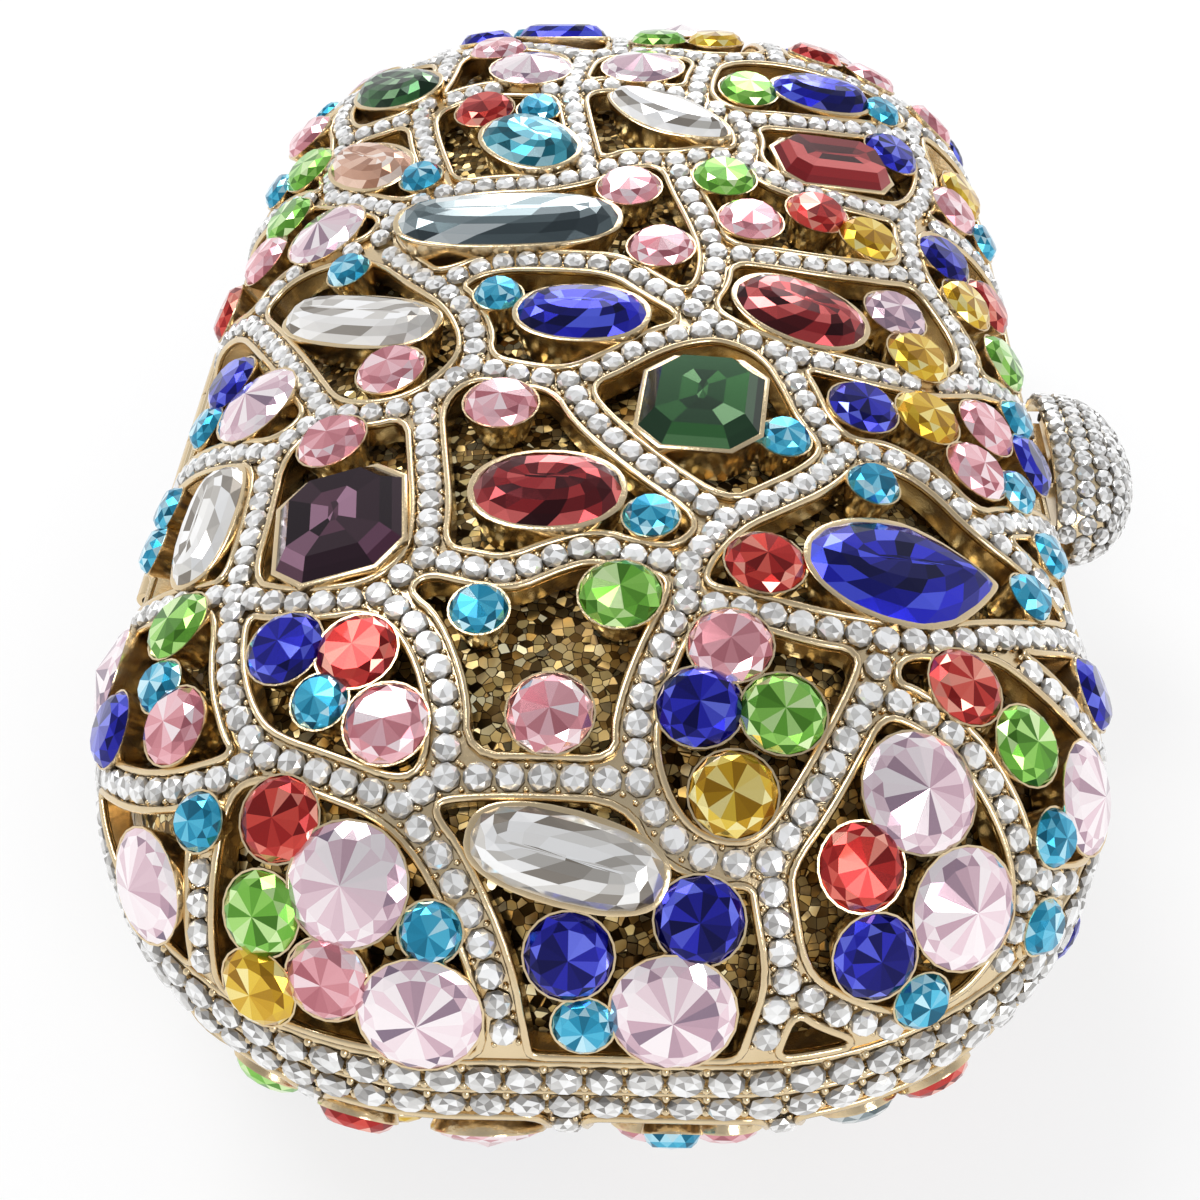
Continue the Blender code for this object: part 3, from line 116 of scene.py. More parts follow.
# %% A socket that can be added and multiplied
class Socket:
    """A node's output: arithmetic adds Math nodes, and node() adds any other node."""

    def __init__(self, tree, output=None):
        self.tree = tree
        self.output = output

    def node(self, kind, settings, sockets, result=0):
        made = self.tree.nodes.new(kind)
        for name, value in settings.items():
            if name == "stops":
                self.set_stops(made.color_ramp, value)
            else:
                setattr(made, name, value)
        for name, value in sockets.items():
            self.feed(made.inputs[name], value)
        return Socket(self.tree, made.outputs[result])

    def set_stops(self, ramp, stops):
        first, *between, last = stops
        for element, (place, colour) in zip(ramp.elements, (first, last)):
            element.position = place
            element.color = (*colour, 1.0)
        for place, colour in between:
            ramp.elements.new(place).color = (*colour, 1.0)

    def feed(self, target, value):
        if isinstance(value, Socket):
            self.tree.links.new(value.output, target)
        else:
            target.default_value = value

    def maths(self, operation, first, second):
        return self.node("ShaderNodeMath", {"operation": operation}, {0: first, 1: second})

    def __add__(self, other):
        return self.maths("ADD", self, other)

    def __radd__(self, other):
        return self.maths("ADD", other, self)

    def __sub__(self, other):
        return self.maths("SUBTRACT", self, other)

    def __rsub__(self, other):
        return self.maths("SUBTRACT", other, self)

    def __mul__(self, other):
        return self.maths("MULTIPLY", self, other)

    def __rmul__(self, other):
        return self.maths("MULTIPLY", other, self)

    def __gt__(self, other):
        return self.maths("GREATER_THAN", self, other)


mix_factor, mix_first, mix_second, mix_result = 0, 6, 7, 2


def blend(factor, first, second):
    """Colour between two colours, by a factor that varies over the surface."""
    sockets = {mix_factor: factor, mix_first: first, mix_second: second}
    return factor.node("ShaderNodeMix", {"data_type": "RGBA"}, sockets, mix_result)


def ramp(factor, stops):
    """Colour along a row of stops, each a place and a colour."""
    return factor.node("ShaderNodeValToRGB", {"stops": stops}, {0: factor}, "Color")


def new_finish(name, surface):
    """A material whose shader gets, socket by socket, what a surface function gives."""
    material = bpy.data.materials.new(name)
    material.use_nodes = True
    nodes = Socket(material.node_tree)
    shader = material.node_tree.nodes["Principled BSDF"]
    for socket, value in surface(nodes).items():
        nodes.feed(shader.inputs[socket], value)
    return material


print("node kit ready")

# %% [markdown]
# ## Room, floor and light
#
# Polished gold and glass only look like themselves when they have something to mirror. The
# room is a pale tent: white round the horizon and greyer overhead, so that a facet's slope
# shows as a change of grey. Three soft boxes give the glints. The floor is plain and pale
# and keeps the shadow.

# %% World
tent_stops = (
    (0.0, (0.95, 0.95, 0.95)), (0.35, (0.80, 0.80, 0.81)), (0.8, (0.45, 0.46, 0.48)),
    (1.0, (0.40, 0.41, 0.43)),
)
world = bpy.data.worlds.new("pale_tent")
bpy.context.scene.world = world
world.use_nodes = True
sky = Socket(world.node_tree)
direction = sky.node("ShaderNodeTexCoord", {}, {}, "Generated")
height = sky.node("ShaderNodeSeparateXYZ", {}, {0: direction}, "Z")
sky.feed(world.node_tree.nodes["Background"].inputs["Color"], ramp(height, tent_stops))
bpy.context.scene.view_settings.view_transform = "Standard"
print("tent of", len(tent_stops), "greys")

# %% Soft boxes
soft_boxes = {
    "key_box": ((-0.35, 0.25, 0.85), 0.45, 4.2),
    "front_box": ((0.45, -0.65, 0.60), 0.35, 2.2),
    "back_box": ((0.10, 0.95, 0.45), 0.50, 2.4),
}
for name, (offset, size, power) in soft_boxes.items():
    lamp = bpy.data.lights.new(name, "AREA")
    lamp.size = size
    lamp.energy = power
    box = in_scene(name, lamp)
    box.location = Vector(case_centre) + Vector(offset)
    box.rotation_euler = Vector(offset).to_track_quat("Z", "Y").to_euler()
print(len(soft_boxes), "lamps, turned towards the case")

# %% Floor
floor_size = 6.0
half_floor = floor_size / 2


def floor_surface(nodes):
    return {"Base Color": (0.93, 0.93, 0.93, 1.0), "Roughness": 0.9, "Specular IOR Level": 0.1}


floor_finish = new_finish("plain_floor", floor_surface)
floor_mesh = bpy.data.meshes.new("floor")
floor_mesh.from_pydata(
    [(-half_floor, -half_floor, 0), (half_floor, -half_floor, 0), (half_floor, half_floor, 0),
     (-half_floor, half_floor, 0)],
    [], [(0, 1, 2, 3)],
)
floor_mesh.materials.append(floor_finish)
floor = in_scene("floor", floor_mesh)
print("floor", floor_size, "m")

# %% The floor fades to the white of a bright table, for the eye only
floor_glow = 0.72
floor_parts = floor_finish.node_tree.nodes
lit = Socket(floor_finish.node_tree, floor_parts["Principled BSDF"].outputs["BSDF"])
seen = lit.node("ShaderNodeLightPath", {}, {}, "Is Camera Ray")
for ray in ("Is Glossy Ray", "Is Transmission Ray"):
    seen = seen + lit.node("ShaderNodeLightPath", {}, {}, ray)
white = lit.node("ShaderNodeEmission", {}, {"Strength": 1.0}, "Emission")
shown = lit.node("ShaderNodeMixShader", {}, {0: seen * floor_glow, 1: lit, 2: white}, "Shader")
lit.feed(floor_parts["Material Output"].inputs["Surface"], shown)
print("floor glows by", floor_glow)

# %% [markdown]
# ## Metal finishes
#
# The net and rims are polished pale gold. Real plate is never quite even: it is a touch
# deeper and duller in patches, with a faint grain, so noise moves its colour, roughness and
# bump. The skin behind the net is coated in coarse glitter: each flake lies at its own angle
# and catches the light alone, which Voronoi cells give, one random colour and tilt each.


# %% Pale gold
patch_scale = 140.0
grain_scale = 2200.0


def own_place(nodes):
    """Place on the piece itself, so that a pattern moves with it."""
    return nodes.node("ShaderNodeTexCoord", {}, {}, "Object")


def noise(place, scale, detail=2.0):
    sockets = {"Vector": place, "Scale": scale, "Detail": detail}
    return place.node("ShaderNodeTexNoise", {}, sockets, "Fac")


def bump(height, strength, depth):
    sockets = {"Strength": strength, "Distance": depth, "Height": height}
    return height.node("ShaderNodeBump", {}, sockets, "Normal")


def gold_surface(nodes):
    place = own_place(nodes)
    patches = noise(place, patch_scale, 3.0)
    return {
        "Metallic": 1.0,
        "Base Color": blend(patches, (0.88, 0.73, 0.48, 1.0), (0.66, 0.49, 0.28, 1.0)),
        "Roughness": 0.13 + patches * 0.16,
        "Normal": bump(noise(place, grain_scale), 0.25, 0.0001),
    }


# %% Glitter coat
flake_scale = 1050.0
flake_spread = 0.8
flake_seam = 0.045
seam_colour = (0.05, 0.03, 0.012, 1.0)
flake_stops = (
    (0.0, (0.075, 0.045, 0.016)), (0.35, (0.26, 0.17, 0.06)), (0.66, (0.60, 0.45, 0.18)),
    (1.0, (1.0, 0.92, 0.62)),
)


def vector_maths(operation, *operands):
    """Vector Math on operands, of which the first is a socket."""
    settings = {"operation": operation}
    return operands[0].node("ShaderNodeVectorMath", settings, dict(enumerate(operands)), "Vector")


def glitter_surface(nodes):
    flake = {"Vector": own_place(nodes), "Scale": flake_scale, "Randomness": flake_spread}
    chance = nodes.node("ShaderNodeTexVoronoi", {}, flake, "Color")
    to_seam = nodes.node("ShaderNodeTexVoronoi", {"feature": "DISTANCE_TO_EDGE"}, flake, "Distance")
    flakes = ramp(nodes.node("ShaderNodeSeparateColor", {}, {0: chance}, "Red"), flake_stops)
    facing = nodes.node("ShaderNodeNewGeometry", {}, {}, "Normal")
    tilt = vector_maths("SUBTRACT", chance, (0.5, 0.5, 0.5))
    return {
        "Metallic": 0.9,
        "Roughness": 0.28,
        "Base Color": blend(to_seam > flake_seam, seam_colour, flakes),
        "Normal": vector_maths("NORMALIZE", vector_maths("ADD", facing, tilt)),
    }


# %% Steel and satin
streak_scale = (4000.0, 120.0, 4000.0)
thread_scale = 900.0
fold_scale = 45.0


def steel_surface(nodes):
    drawn_out = {"Vector": own_place(nodes), "Scale": streak_scale}
    streaks = noise(nodes.node("ShaderNodeMapping", {}, drawn_out, "Vector"), 1.0)
    return {"Metallic": 1.0, "Base Color": (0.62, 0.62, 0.64, 1.0), "Roughness": 0.18 + streaks * 0.22}


def satin_surface(nodes):
    place = own_place(nodes)
    thread = {"Vector": place, "Scale": thread_scale}
    warp, weft = (
        nodes.node("ShaderNodeTexWave", {"bands_direction": axis}, thread, "Fac") for axis in ("X", "Y")
    )
    folds = noise(place, fold_scale)
    return {
        "Sheen Weight": 0.4,
        "Sheen Roughness": 0.35,
        "Specular IOR Level": 0.4,
        "Base Color": blend(folds, (0.90, 0.84, 0.72, 1.0), (0.80, 0.72, 0.58, 1.0)),
        "Roughness": 0.42 + folds * 0.2,
        "Normal": bump(warp * weft * 0.4 + folds, 0.3, 0.0002),
    }


surfaces = {
    "pale_gold": gold_surface, "glitter_bronze": glitter_surface, "steel": steel_surface,
    "cream_satin": satin_surface,
}
finishes = {name: (new_finish(name, surface), name) for name, surface in surfaces.items()}
print("finishes:", *finishes)

# %% [markdown]
# ## Foiled glass
#
# These stones are pointed behind and backed with foil. What the eye sees in each facet is a
# mirror image of the back facets: some bright, some nearly black, never a smooth blend.
# Tracing light through two thousand tiny prisms would be slow and noisy, and it is lost when
# the model is exported. Instead each facet carries a number, its tone, and the material turns
# it into a shade of the stone: a painted reflection, from nearly black to a painted white
# glint, under a clear polished coat that mirrors the room.

# %% Stone colours, from the darkest facet to the brightest, as painted reflections and glints
stone_shades = {
    "ice": ((0.10, 0.09, 0.08), (0.62, 0.61, 0.59), (0.98, 0.98, 0.97), (1.0, 1.0, 1.0)),
    "clear": ((0.15, 0.12, 0.09), (0.66, 0.64, 0.60), (0.94, 0.93, 0.91), (1.0, 1.0, 1.0)),
    "rose_pale": ((0.17, 0.13, 0.20), (0.60, 0.39, 0.47), (0.88, 0.67, 0.74), (1.0, 0.92, 0.94)),
    "rose": ((0.40, 0.11, 0.14), (0.76, 0.32, 0.36), (0.94, 0.56, 0.61), (1.0, 0.86, 0.89)),
    "red": ((0.13, 0.004, 0.004), (0.44, 0.014, 0.012), (0.70, 0.06, 0.040), (0.95, 0.42, 0.32)),
    "green": ((0.045, 0.15, 0.012), (0.16, 0.48, 0.045), (0.34, 0.72, 0.13), (0.76, 0.97, 0.50)),
    "amber": ((0.25, 0.11, 0.003), (0.64, 0.36, 0.010), (0.86, 0.60, 0.05), (1.0, 0.90, 0.42)),
    "blue": ((0.0015, 0.0015, 0.045), (0.003, 0.003, 0.21), (0.012, 0.014, 0.56), (0.16, 0.20, 0.95)),
    "cyan": ((0.004, 0.09, 0.16), (0.014, 0.30, 0.50), (0.08, 0.54, 0.78), (0.60, 0.90, 1.0)),
    "smoky": ((0.035, 0.048, 0.055), (0.15, 0.20, 0.215), (0.38, 0.45, 0.47), (0.86, 0.89, 0.88)),
    "royal": ((0.0015, 0.002, 0.03), (0.003, 0.004, 0.18), (0.006, 0.008, 0.62), (0.10, 0.14, 0.95)),
    "forest": ((0.003, 0.012, 0.005), (0.007, 0.040, 0.013), (0.028, 0.14, 0.032), (0.26, 0.50, 0.24)),
    "garnet": ((0.022, 0.002, 0.004), (0.12, 0.005, 0.008), (0.36, 0.012, 0.016), (0.78, 0.14, 0.13)),
    "amethyst": ((0.009, 0.003, 0.007), (0.026, 0.007, 0.017), (0.085, 0.020, 0.050), (0.40, 0.20, 0.31)),
    "teal": ((0.003, 0.065, 0.09), (0.010, 0.20, 0.28), (0.07, 0.42, 0.54), (0.58, 0.88, 0.95)),
    "peach": ((0.38, 0.18, 0.11), (0.70, 0.41, 0.29), (0.90, 0.64, 0.50), (1.0, 0.91, 0.84)),
}
shade_places = (0.0, 0.40, 0.80, 1.0)

# %% Glass finishes
mirror_share = {"ice": 0.46, "clear": 0.62}
usual_mirror_share = 0.78
colours_of_slot = {
    "crystal": "ice", "clear_glass": "clear", "peach_glass": "rose_pale rose amber peach",
    "garnet_glass": "red garnet", "green_glass": "green forest", "royal_glass": "blue royal",
    "teal_glass": "cyan teal", "smoky_glass": "smoky", "amethyst_glass": "amethyst",
}


def glass_surface(colour):
    """The surface function of one colour of glass, shaded by the tone of each facet."""

    def surface(nodes):
        tone = nodes.node("ShaderNodeAttribute", {"attribute_name": "tone"}, {}, "Fac")
        return {
            "Metallic": mirror_share.get(colour, usual_mirror_share),
            "Coat Roughness": 0.02,
            "Coat IOR": 1.5,
            # The tone picks each facet's painted reflection, from painted shade to a painted white glint.
            "Base Color": ramp(tone, tuple(zip(shade_places, stone_shades[colour]))),
            "Roughness": 0.18 - tone * 0.08,
            "Coat Weight": 0.10 + tone * 0.60,
        }

    return surface


for slot, colours in colours_of_slot.items():
    for colour in colours.split():
        finishes[colour] = (new_finish(f"{colour}_stone", glass_surface(colour)), slot)
print(len(finishes), "finishes with the glass")

# %% [markdown]
# ## The shape of one half
#
# Both halves come from one mould, a dome on a rounded rectangle. Things on it are laid out on
# a flat map, measured inward along the surface from the seam, and then bent over the dome.
# The back is the same mould turned over about X.

# %% Sizes of the case
corner_radius = 0.042
half_height = 0.031
crown_reach = 0.052
crown_power = 2.2
seam_gap = 0.0003
fit_gap = 0.0003
casting_depth = 0.0026
shell_clearance = 0.0010
shell_wall = 0.0008
lining_wall = 0.0010
rim_height = 0.0047
rim_lip = 0.0009
rim_groove = 0.0008
print("case without stones", round(half_height * 2 * 1000, 1), "mm deep")

# %% The dome
section_steps = 400
corner_steps = 24
side_steps = 12
no_length = 1e-9


def run_lengths(steps):
    """How far along a line each of its points lies, from the lengths of its steps."""
    return np.concatenate(([0.0], np.cumsum(steps)))


class Dome:
    """A superelliptic dome on a rounded rectangle, laid flat by arc length from the seam."""

    def __init__(self):
        turn = np.linspace(0, math.pi / 2, section_steps)
        self.inset = crown_reach * (1 - np.cos(turn) ** (2 / crown_power))
        tall = half_height * np.sin(turn) ** (2 / crown_power)
        self.arc = run_lengths(np.hypot(np.diff(self.inset), np.diff(tall)))
        self.core = np.array((case_width / 2 - corner_radius, case_length / 2 - corner_radius))
        self.radius = float(np.interp(corner_radius, self.inset, self.arc))
        self.size = self.core + self.radius

    def outside_core(self, flat):
        core = np.clip(flat, -self.core, self.core)
        out = flat - core
        return core, out, np.linalg.norm(out, axis=-1)

    def from_seam(self, flat):
        return self.radius - self.outside_core(flat)[2]

    def keep_from_seam(self, flat, distance):
        core, out, length = self.outside_core(flat)
        limit = self.radius - distance
        return core + out * (limit / length) if length > limit else flat

    def place(self, flat, lift=0.0):
        """Points and normals of the dome at flat places, lifted along the normals."""
        core, out, length = self.outside_core(flat)
        along = out / np.maximum(length, no_length)[:, None]
        beyond = np.interp(self.radius - length, self.arc, self.inset)
        within = corner_radius + (self.core - np.abs(flat)).min(axis=1)
        inset = np.where(length > no_length, beyond, within)
        edge_plan = core + along * (corner_radius - inset)[:, None]
        plan = np.where((length > no_length)[:, None], edge_plan, flat)
        slope = np.maximum(0.0, 1 - inset / crown_reach)
        fullness = 1 - slope ** crown_power
        tall = half_height * fullness ** (1 / crown_power)
        outward = slope ** (crown_power - 1) / crown_reach
        upward = fullness ** ((crown_power - 1) / crown_power) / half_height
        normal = np.column_stack((along * outward[:, None], upward))
        normal /= np.linalg.norm(normal, axis=1)[:, None]
        return np.column_stack((plan, tall)) + normal * np.reshape(lift, (-1, 1)), normal

    def place_one(self, flat):
        points, normals = self.place(np.array([flat]))
        return points[0], normals[0]

    def seam_loop(self, distance):
        """Flat loop at one distance from the seam, counter-clockwise."""
        reach = self.radius - distance
        loop = []
        for quarter, (side_x, side_y) in enumerate(((1, 1), (-1, 1), (-1, -1), (1, -1))):
            centre = self.core * (side_x, side_y)
            for angle in np.linspace(quarter, quarter + 1, corner_steps) * math.pi / 2:
                loop.append(centre + reach * np.array((math.cos(angle), math.sin(angle))))
            following = self.core * ((-side_x, side_y) if quarter % 2 == 0 else (side_x, -side_y))
            run = following - centre
            loop += [loop[-1] + run * step for step in np.linspace(0, 1, side_steps)[1:-1]]
        return np.array(loop)


dome = Dome()
halves = ("lid", "back")
turned = {"lid": np.array((1, 1, 1)), "back": np.array((1, -1, -1))}
body_of_half = {"lid": "lid", "back": "back_half"}


def in_half(half, points):
    """Case points in the frame's own place; the back is the mould turned over."""
    return points * turned[half] + case_centre


print("flat map", np.round(dome.size * 1000, 1), "mm each way")

# %% Helpers that gather a piece and make its mesh
def unit(vectors):
    return vectors / np.linalg.norm(vectors, axis=-1, keepdims=True)


def even_turns(count, shift=0):
    """Angles of a full turn in equal steps, from a shift given in steps."""
    return (np.arange(count) + shift) / count * 2 * math.pi


class Batch:
    """Points, faces and facet tones of one piece, gathered before its mesh is made."""

    def __init__(self):
        self.points = []
        self.faces = []
        self.tones = []
        self.count = 0

    def add(self, points, faces, tones=None):
        self.points.append(points)
        self.faces += [[self.count + corner for corner in face] for face in faces]
        self.tones.append(np.ones(len(faces)) if tones is None else tones)
        self.count += len(points)

    def add_rings(self, rings, closed=False):
        """Rings of equal count joined by quads, and the last to the first where they close."""
        number = np.arange(len(rings) * len(rings[0])).reshape(len(rings), -1)
        low, high = (number, np.roll(number, -1, 0)) if closed else (number[:-1], number[1:])
        quads = (low, np.roll(low, -1, 1), np.roll(high, -1, 1), high)
        self.add(np.vstack(rings), np.stack(quads, axis=-1).reshape(-1, 4).tolist())

    def make(self, name, half, finish, replaced=(), smooth_degrees=None, body=None):
        """The mesh as a piece that rides on its half, or on a named body as it stands."""
        points = np.vstack(self.points)
        if half:
            points = in_half(half, points)
        mesh = bpy.data.meshes.new(name)
        mesh.from_pydata(points.tolist(), [], self.faces)
        mesh.attributes.new("tone", "FLOAT", "FACE").data.foreach_set("value", np.concatenate(self.tones))
        outward = bmesh.new()
        outward.from_mesh(mesh)
        bmesh.ops.recalc_face_normals(outward, faces=outward.faces)
        outward.to_mesh(mesh)
        outward.free()
        if smooth_degrees:
            mesh.shade_smooth()
            mesh.set_sharp_from_angle(angle=math.radians(smooth_degrees))
        material, slot = finishes[finish]
        mesh.materials.append(material)
        item = in_scene(name, mesh)
        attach(item, body or body_of_half[half])
        if replaced:
            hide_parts(*replaced)
        print(name, len(self.faces), "faces")


# %% [markdown]
# ## Windows and veins
#
# The net is easiest to describe by what is left out of it: each window is a loop of named
# vein corners. A corner is written as a share of the case's flat half width and half length,
# and the corners of a run share a letter and are numbered from the run's name on. The outline
# of a window is its loop drawn in by half a vein, cut off at the rim and then rounded by
# cutting its corners twice, which gives the soft, cast look.

# %% Corners of the veins
vein_runs = {
    "a0": (
        (-0.545, -0.24), (-0.54, -0.345), (-0.545, -0.455), (-0.53, -0.56), (-0.497, -0.62),
        (-0.45, -0.655),
    ),
    "b0": ((-0.53, -0.668), (-0.62, -0.665), (-0.71, -0.645), (-0.81, -0.60), (-1.05, -0.48)),
    "c1": ((-0.565, -0.745), (-0.595, -0.82), (-0.66, -0.96)),
    "d1": ((-0.345, -0.685), (-0.25, -0.712), (-0.18, -0.765), (-0.12, -0.85), (-0.085, -1.02)),
    "e0": ((-0.188, -0.688), (-0.02, -0.25), (0.085, -0.335)),
    "f1": ((-0.47, -0.485), (-0.385, -0.50), (-0.305, -0.497), (-0.235, -0.54), (-0.192, -0.61)),
    "g0": (
        (-0.245, -0.455), (-0.18, -0.47), (-0.12, -0.478), (-0.06, -0.455), (0.0, -0.44), (0.06, -0.455),
        (0.135, -0.462),
    ),
    "h1": (
        (0.13, -0.508), (0.09, -0.57), (0.062, -0.635), (0.07, -0.69), (0.11, -0.742), (0.175, -0.762),
        (0.245, -0.757), (0.30, -0.705), (0.345, -0.65), (0.385, -0.595), (0.415, -0.53),
    ),
    "i1": ((-0.06, -0.686),),
    "k1": (
        (0.22, -0.515), (0.31, -0.53), (0.50, -0.518), (0.58, -0.492), (0.67, -0.46), (0.75, -0.425),
        (0.85, -0.385), (1.05, -0.33),
    ),
    "l1": ((0.67, -0.51), (0.76, -0.525), (0.87, -0.525), (1.05, -0.50)),
    "m0": ((0.25, -0.79), (0.275, -0.86), (0.25, -0.915), (0.22, -1.02)),
    "n1": (
        (0.34, -0.885), (0.42, -0.90), (0.51, -0.90), (0.595, -0.872), (0.645, -0.825), (0.667, -0.77),
        (0.65, -0.72), (0.60, -0.67), (0.53, -0.622), (0.45, -0.597),
    ),
    "o1": ((0.72, -0.725), (0.80, -0.705), (1.05, -0.62)),
    "p1": ((-0.62, -0.437), (-0.71, -0.415), (-0.80, -0.39), (-1.05, -0.30)),
    "q1": ((-0.62, -0.213), (-0.70, -0.185), (-0.80, -0.155), (-1.05, -0.08)),
    "r1": ((-0.95, -0.85), (0.50, -1.05), (1.05, -0.56), (1.05, -0.80), (0.80, -0.95), (-0.80, 0.95)),
    "s0": ((-0.455, -0.20), (-0.37, -0.222), (-0.285, -0.213)),
    "t1": ((-0.265, -0.30), (-0.245, -0.385)),
    "u0": (
        (-0.215, -0.155), (-0.212, -0.10), (-0.25, -0.035), (-0.30, 0.005), (-0.345, 0.04),
        (-0.395, 0.085),
    ),
    "v1": (
        (-0.14, -0.178), (-0.055, -0.19), (0.01, -0.16), (0.075, -0.12), (0.14, -0.098), (0.20, -0.092),
        (0.28, -0.12),
    ),
    "w1": ((0.315, -0.18), (0.335, -0.23), (0.38, -0.275), (0.33, -0.325), (0.26, -0.365), (0.19, -0.40)),
    "x0": ((0.02, 0.027), (0.08, -0.018), (0.145, -0.055)),
    "y1": (
        (0.37, -0.128), (0.46, -0.128), (0.55, -0.115), (0.65, -0.065), (0.74, -0.035), (0.85, 0.0),
        (1.05, 0.045),
    ),
    "z1": ((-0.20, 0.04), (-0.09, 0.035)),
    "A1": ((0.18, 0.0), (0.187, 0.06), (0.165, 0.125), (0.135, 0.19), (0.115, 0.258)),
    "B1": ((0.28, 0.058), (0.38, 0.06), (0.48, 0.078), (0.565, 0.105), (0.615, 0.055), (0.66, 0.0)),
    "D1": ((0.45, -0.262), (0.53, -0.28), (0.605, -0.328), (0.68, -0.287), (0.77, -0.245), (1.05, -0.13)),
    "E1": ((0.70, -0.345), (0.78, -0.35)),
    "F1": ((-0.505, -0.14), (-0.56, -0.075), (-0.63, 0.0), (-0.70, 0.07), (-0.80, 0.115), (-1.05, 0.17)),
    "G1": ((-0.48, 0.12), (-0.58, 0.128), (-0.65, 0.117)),
    "H1": ((-0.425, 0.13), (-0.40, 0.183), (-0.315, 0.205)),
    "I1": ((-0.22, 0.207), (-0.13, 0.203), (-0.045, 0.222), (0.03, 0.262)),
    "K1": ((-0.345, 0.27), (-0.375, 0.34), (-0.395, 0.415)),
    "L1": ((-0.48, 0.225), (-0.56, 0.275), (-0.585, 0.345), (-0.565, 0.42)),
    "M1": ((-0.48, 0.413),),
    "N1": ((-0.605, 0.50), (-0.58, 0.585), (-0.47, 0.625), (-0.36, 0.60), (-0.365, 0.505)),
    "O1": ((-0.32, 0.445), (-0.24, 0.452), (-0.16, 0.44), (-0.095, 0.435)),
    "P1": ((-0.06, 0.29), (-0.078, 0.36)),
    "Q1": (
        (-0.02, 0.457), (0.07, 0.442), (0.155, 0.412), (0.235, 0.372), (0.258, 0.32), (0.245, 0.27),
        (0.18, 0.278),
    ),
    "S1": ((0.31, 0.225), (0.40, 0.215), (0.49, 0.222), (0.567, 0.237), (0.56, 0.17)),
    "T1": ((0.33, 0.38), (0.45, 0.402), (0.54, 0.432), (0.62, 0.46), (0.645, 0.38), (0.62, 0.30)),
    "U1": ((0.165, 0.48), (0.19, 0.55), (0.33, 0.575), (0.46, 0.575), (0.58, 0.56), (0.64, 0.52)),
    "W1": ((0.10, 0.585), (0.0, 0.585), (-0.07, 0.56), (-0.085, 0.50), (-0.16, 0.615), (-0.26, 0.625)),
    "X1": ((0.70, 0.262), (0.80, 0.262), (1.05, 0.27), (0.73, 0.52), (0.84, 0.545), (1.05, 0.60)),
    "Y1": ((-0.65, 0.315), (-0.75, 0.345), (-1.05, 0.42), (-0.66, 0.63), (-0.76, 0.67), (-0.95, 0.75)),
    "Z1": (
        (-0.40, 0.70), (-0.43, 0.80), (-0.47, 1.02), (0.0, 0.66), (-0.02, 0.76), (-0.04, 1.02),
        (0.33, 0.66), (0.31, 0.77), (0.28, 1.02), (0.65, 0.62), (0.67, 0.71), (0.76, 0.95),
    ),
}
vein_shares = {}
for first, run in vein_runs.items():
    for number, shares in enumerate(run, int(first[1:])):
        vein_shares[f"{first[0]}{number}"] = shares
print(len(vein_shares), "corners in", len(vein_runs), "runs")

# %% Windows of the net, each named for what it holds, by the corners round it
window_corners = {
    "near_left_cluster": "b0 a5 d1-5 c3-1",
    "near_left_side": "b0 c1-3 r1 b4-1",
    "near_middle": "e0 i1 h4-7 m0-3 d5-2",
    "near_right_cluster": "m0-1 n1-10 h10-7",
    "near_slot": "m1 n1-3 r2 m3-2",
    "amber_loop": "h1-11 k2-1",
    "open_field": "g0-6 h1-4 i1 e0 f5-3",
    "four_stone_loop": "a2 f1-5 e0 d2-1 a5-3",
    "left_low_side": "a2-5 b0-4 p4-1",
    "left_side": "a0-2 p1-4 q4-1",
    "dark_octagon": "a0-2 f1-3 g0 t2-1 s2-0",
    "garnet": "s2 t1-2 g0-6 w6 e2-1 v2-1 u0",
    "right_low_side": "h11 k3-4 l1-4 r3 o3-1 n7-10 h10",
    "right_corner": "n7 o1-3 r4-5 n4-6",
    "right_small": "k4-8 l4-1",
    "pear": "w3-6 g6 h1 k1-2 h11 k3-7 E2-1 D3-1",
    "right_slot": "D3 E1-2 k7-8 D6-4",
    "green_octagon": "v2-7 w1-6 e2-1",
    "right_side": "v7 y1-7 D6-1 w3-1",
    "middle_oval": "u0 v1-6 x2-0 z2-1 u3-1",
    "garnet_right": "x2 A1-2 B1-6 y4-1 v7-6",
    "smoky": "u3 z1-2 x0-2 A1-5 I4-1 H3-1 u5-4",
    "clear_left": "s0-2 u0-5 G1-3 F4-1",
    "left_middle_side": "a0 s0 F1-6 q4-1",
    "left_far_side": "F4 G3-1 H1-2 L1-2 Y1-3 F6-5",
    "peach": "H2-3 K1-3 M1 L4-1",
    "teal": "H3 I1-3 P1-2 O4-1 K3-1",
    "navette": "I3-4 A5 Q7-1 O4 P2-1",
    "four_in_a_row": "A2-5 Q7-6 S1-5 B4-1",
    "garnet_octagon": "Q6 S1-4 T6-1 Q4-5",
    "right_far_side": "B4 S5-4 X1-3 y7-4 B6-5",
    "right_far_pair": "S4 T6-4 U6 X4-6 X3-1",
    "far_oval": "Q3-4 T1-4 U6-1",
    "far_pale": "O4 Q1-3 U1-2 W1-4",
    "far_pale_left": "K3 O1-4 W4-3 W5-6 N4-5",
    "far_green": "K3 N5-1 L4 M1",
    "left_far_pair": "L2-4 N1-2 Y4-6 Y3-1",
    "end_left_side": "N2-4 Z1-3 r6 Y6-4",
    "end_left": "N4 W6-5 W3-2 Z4-6 Z3-1",
    "end_right": "W2-1 U2-3 Z7-9 Z6-4",
    "end_right_middle": "U3-5 Z10-12 Z9-7",
    "end_right_side": "U5-6 X4-6 Z12-10",
}


def written_out(text):
    """Corner names, with f1-5 written out as f1 to f5 and a5-3 as a5 down to a3."""
    names = []
    for word in text.split():
        first, *last = (int(number) for number in word[1:].split("-"))
        last = last[0] if last else first
        step = 1 if last >= first else -1
        names += [f"{word[0]}{number}" for number in range(first, last + step, step)]
    return names


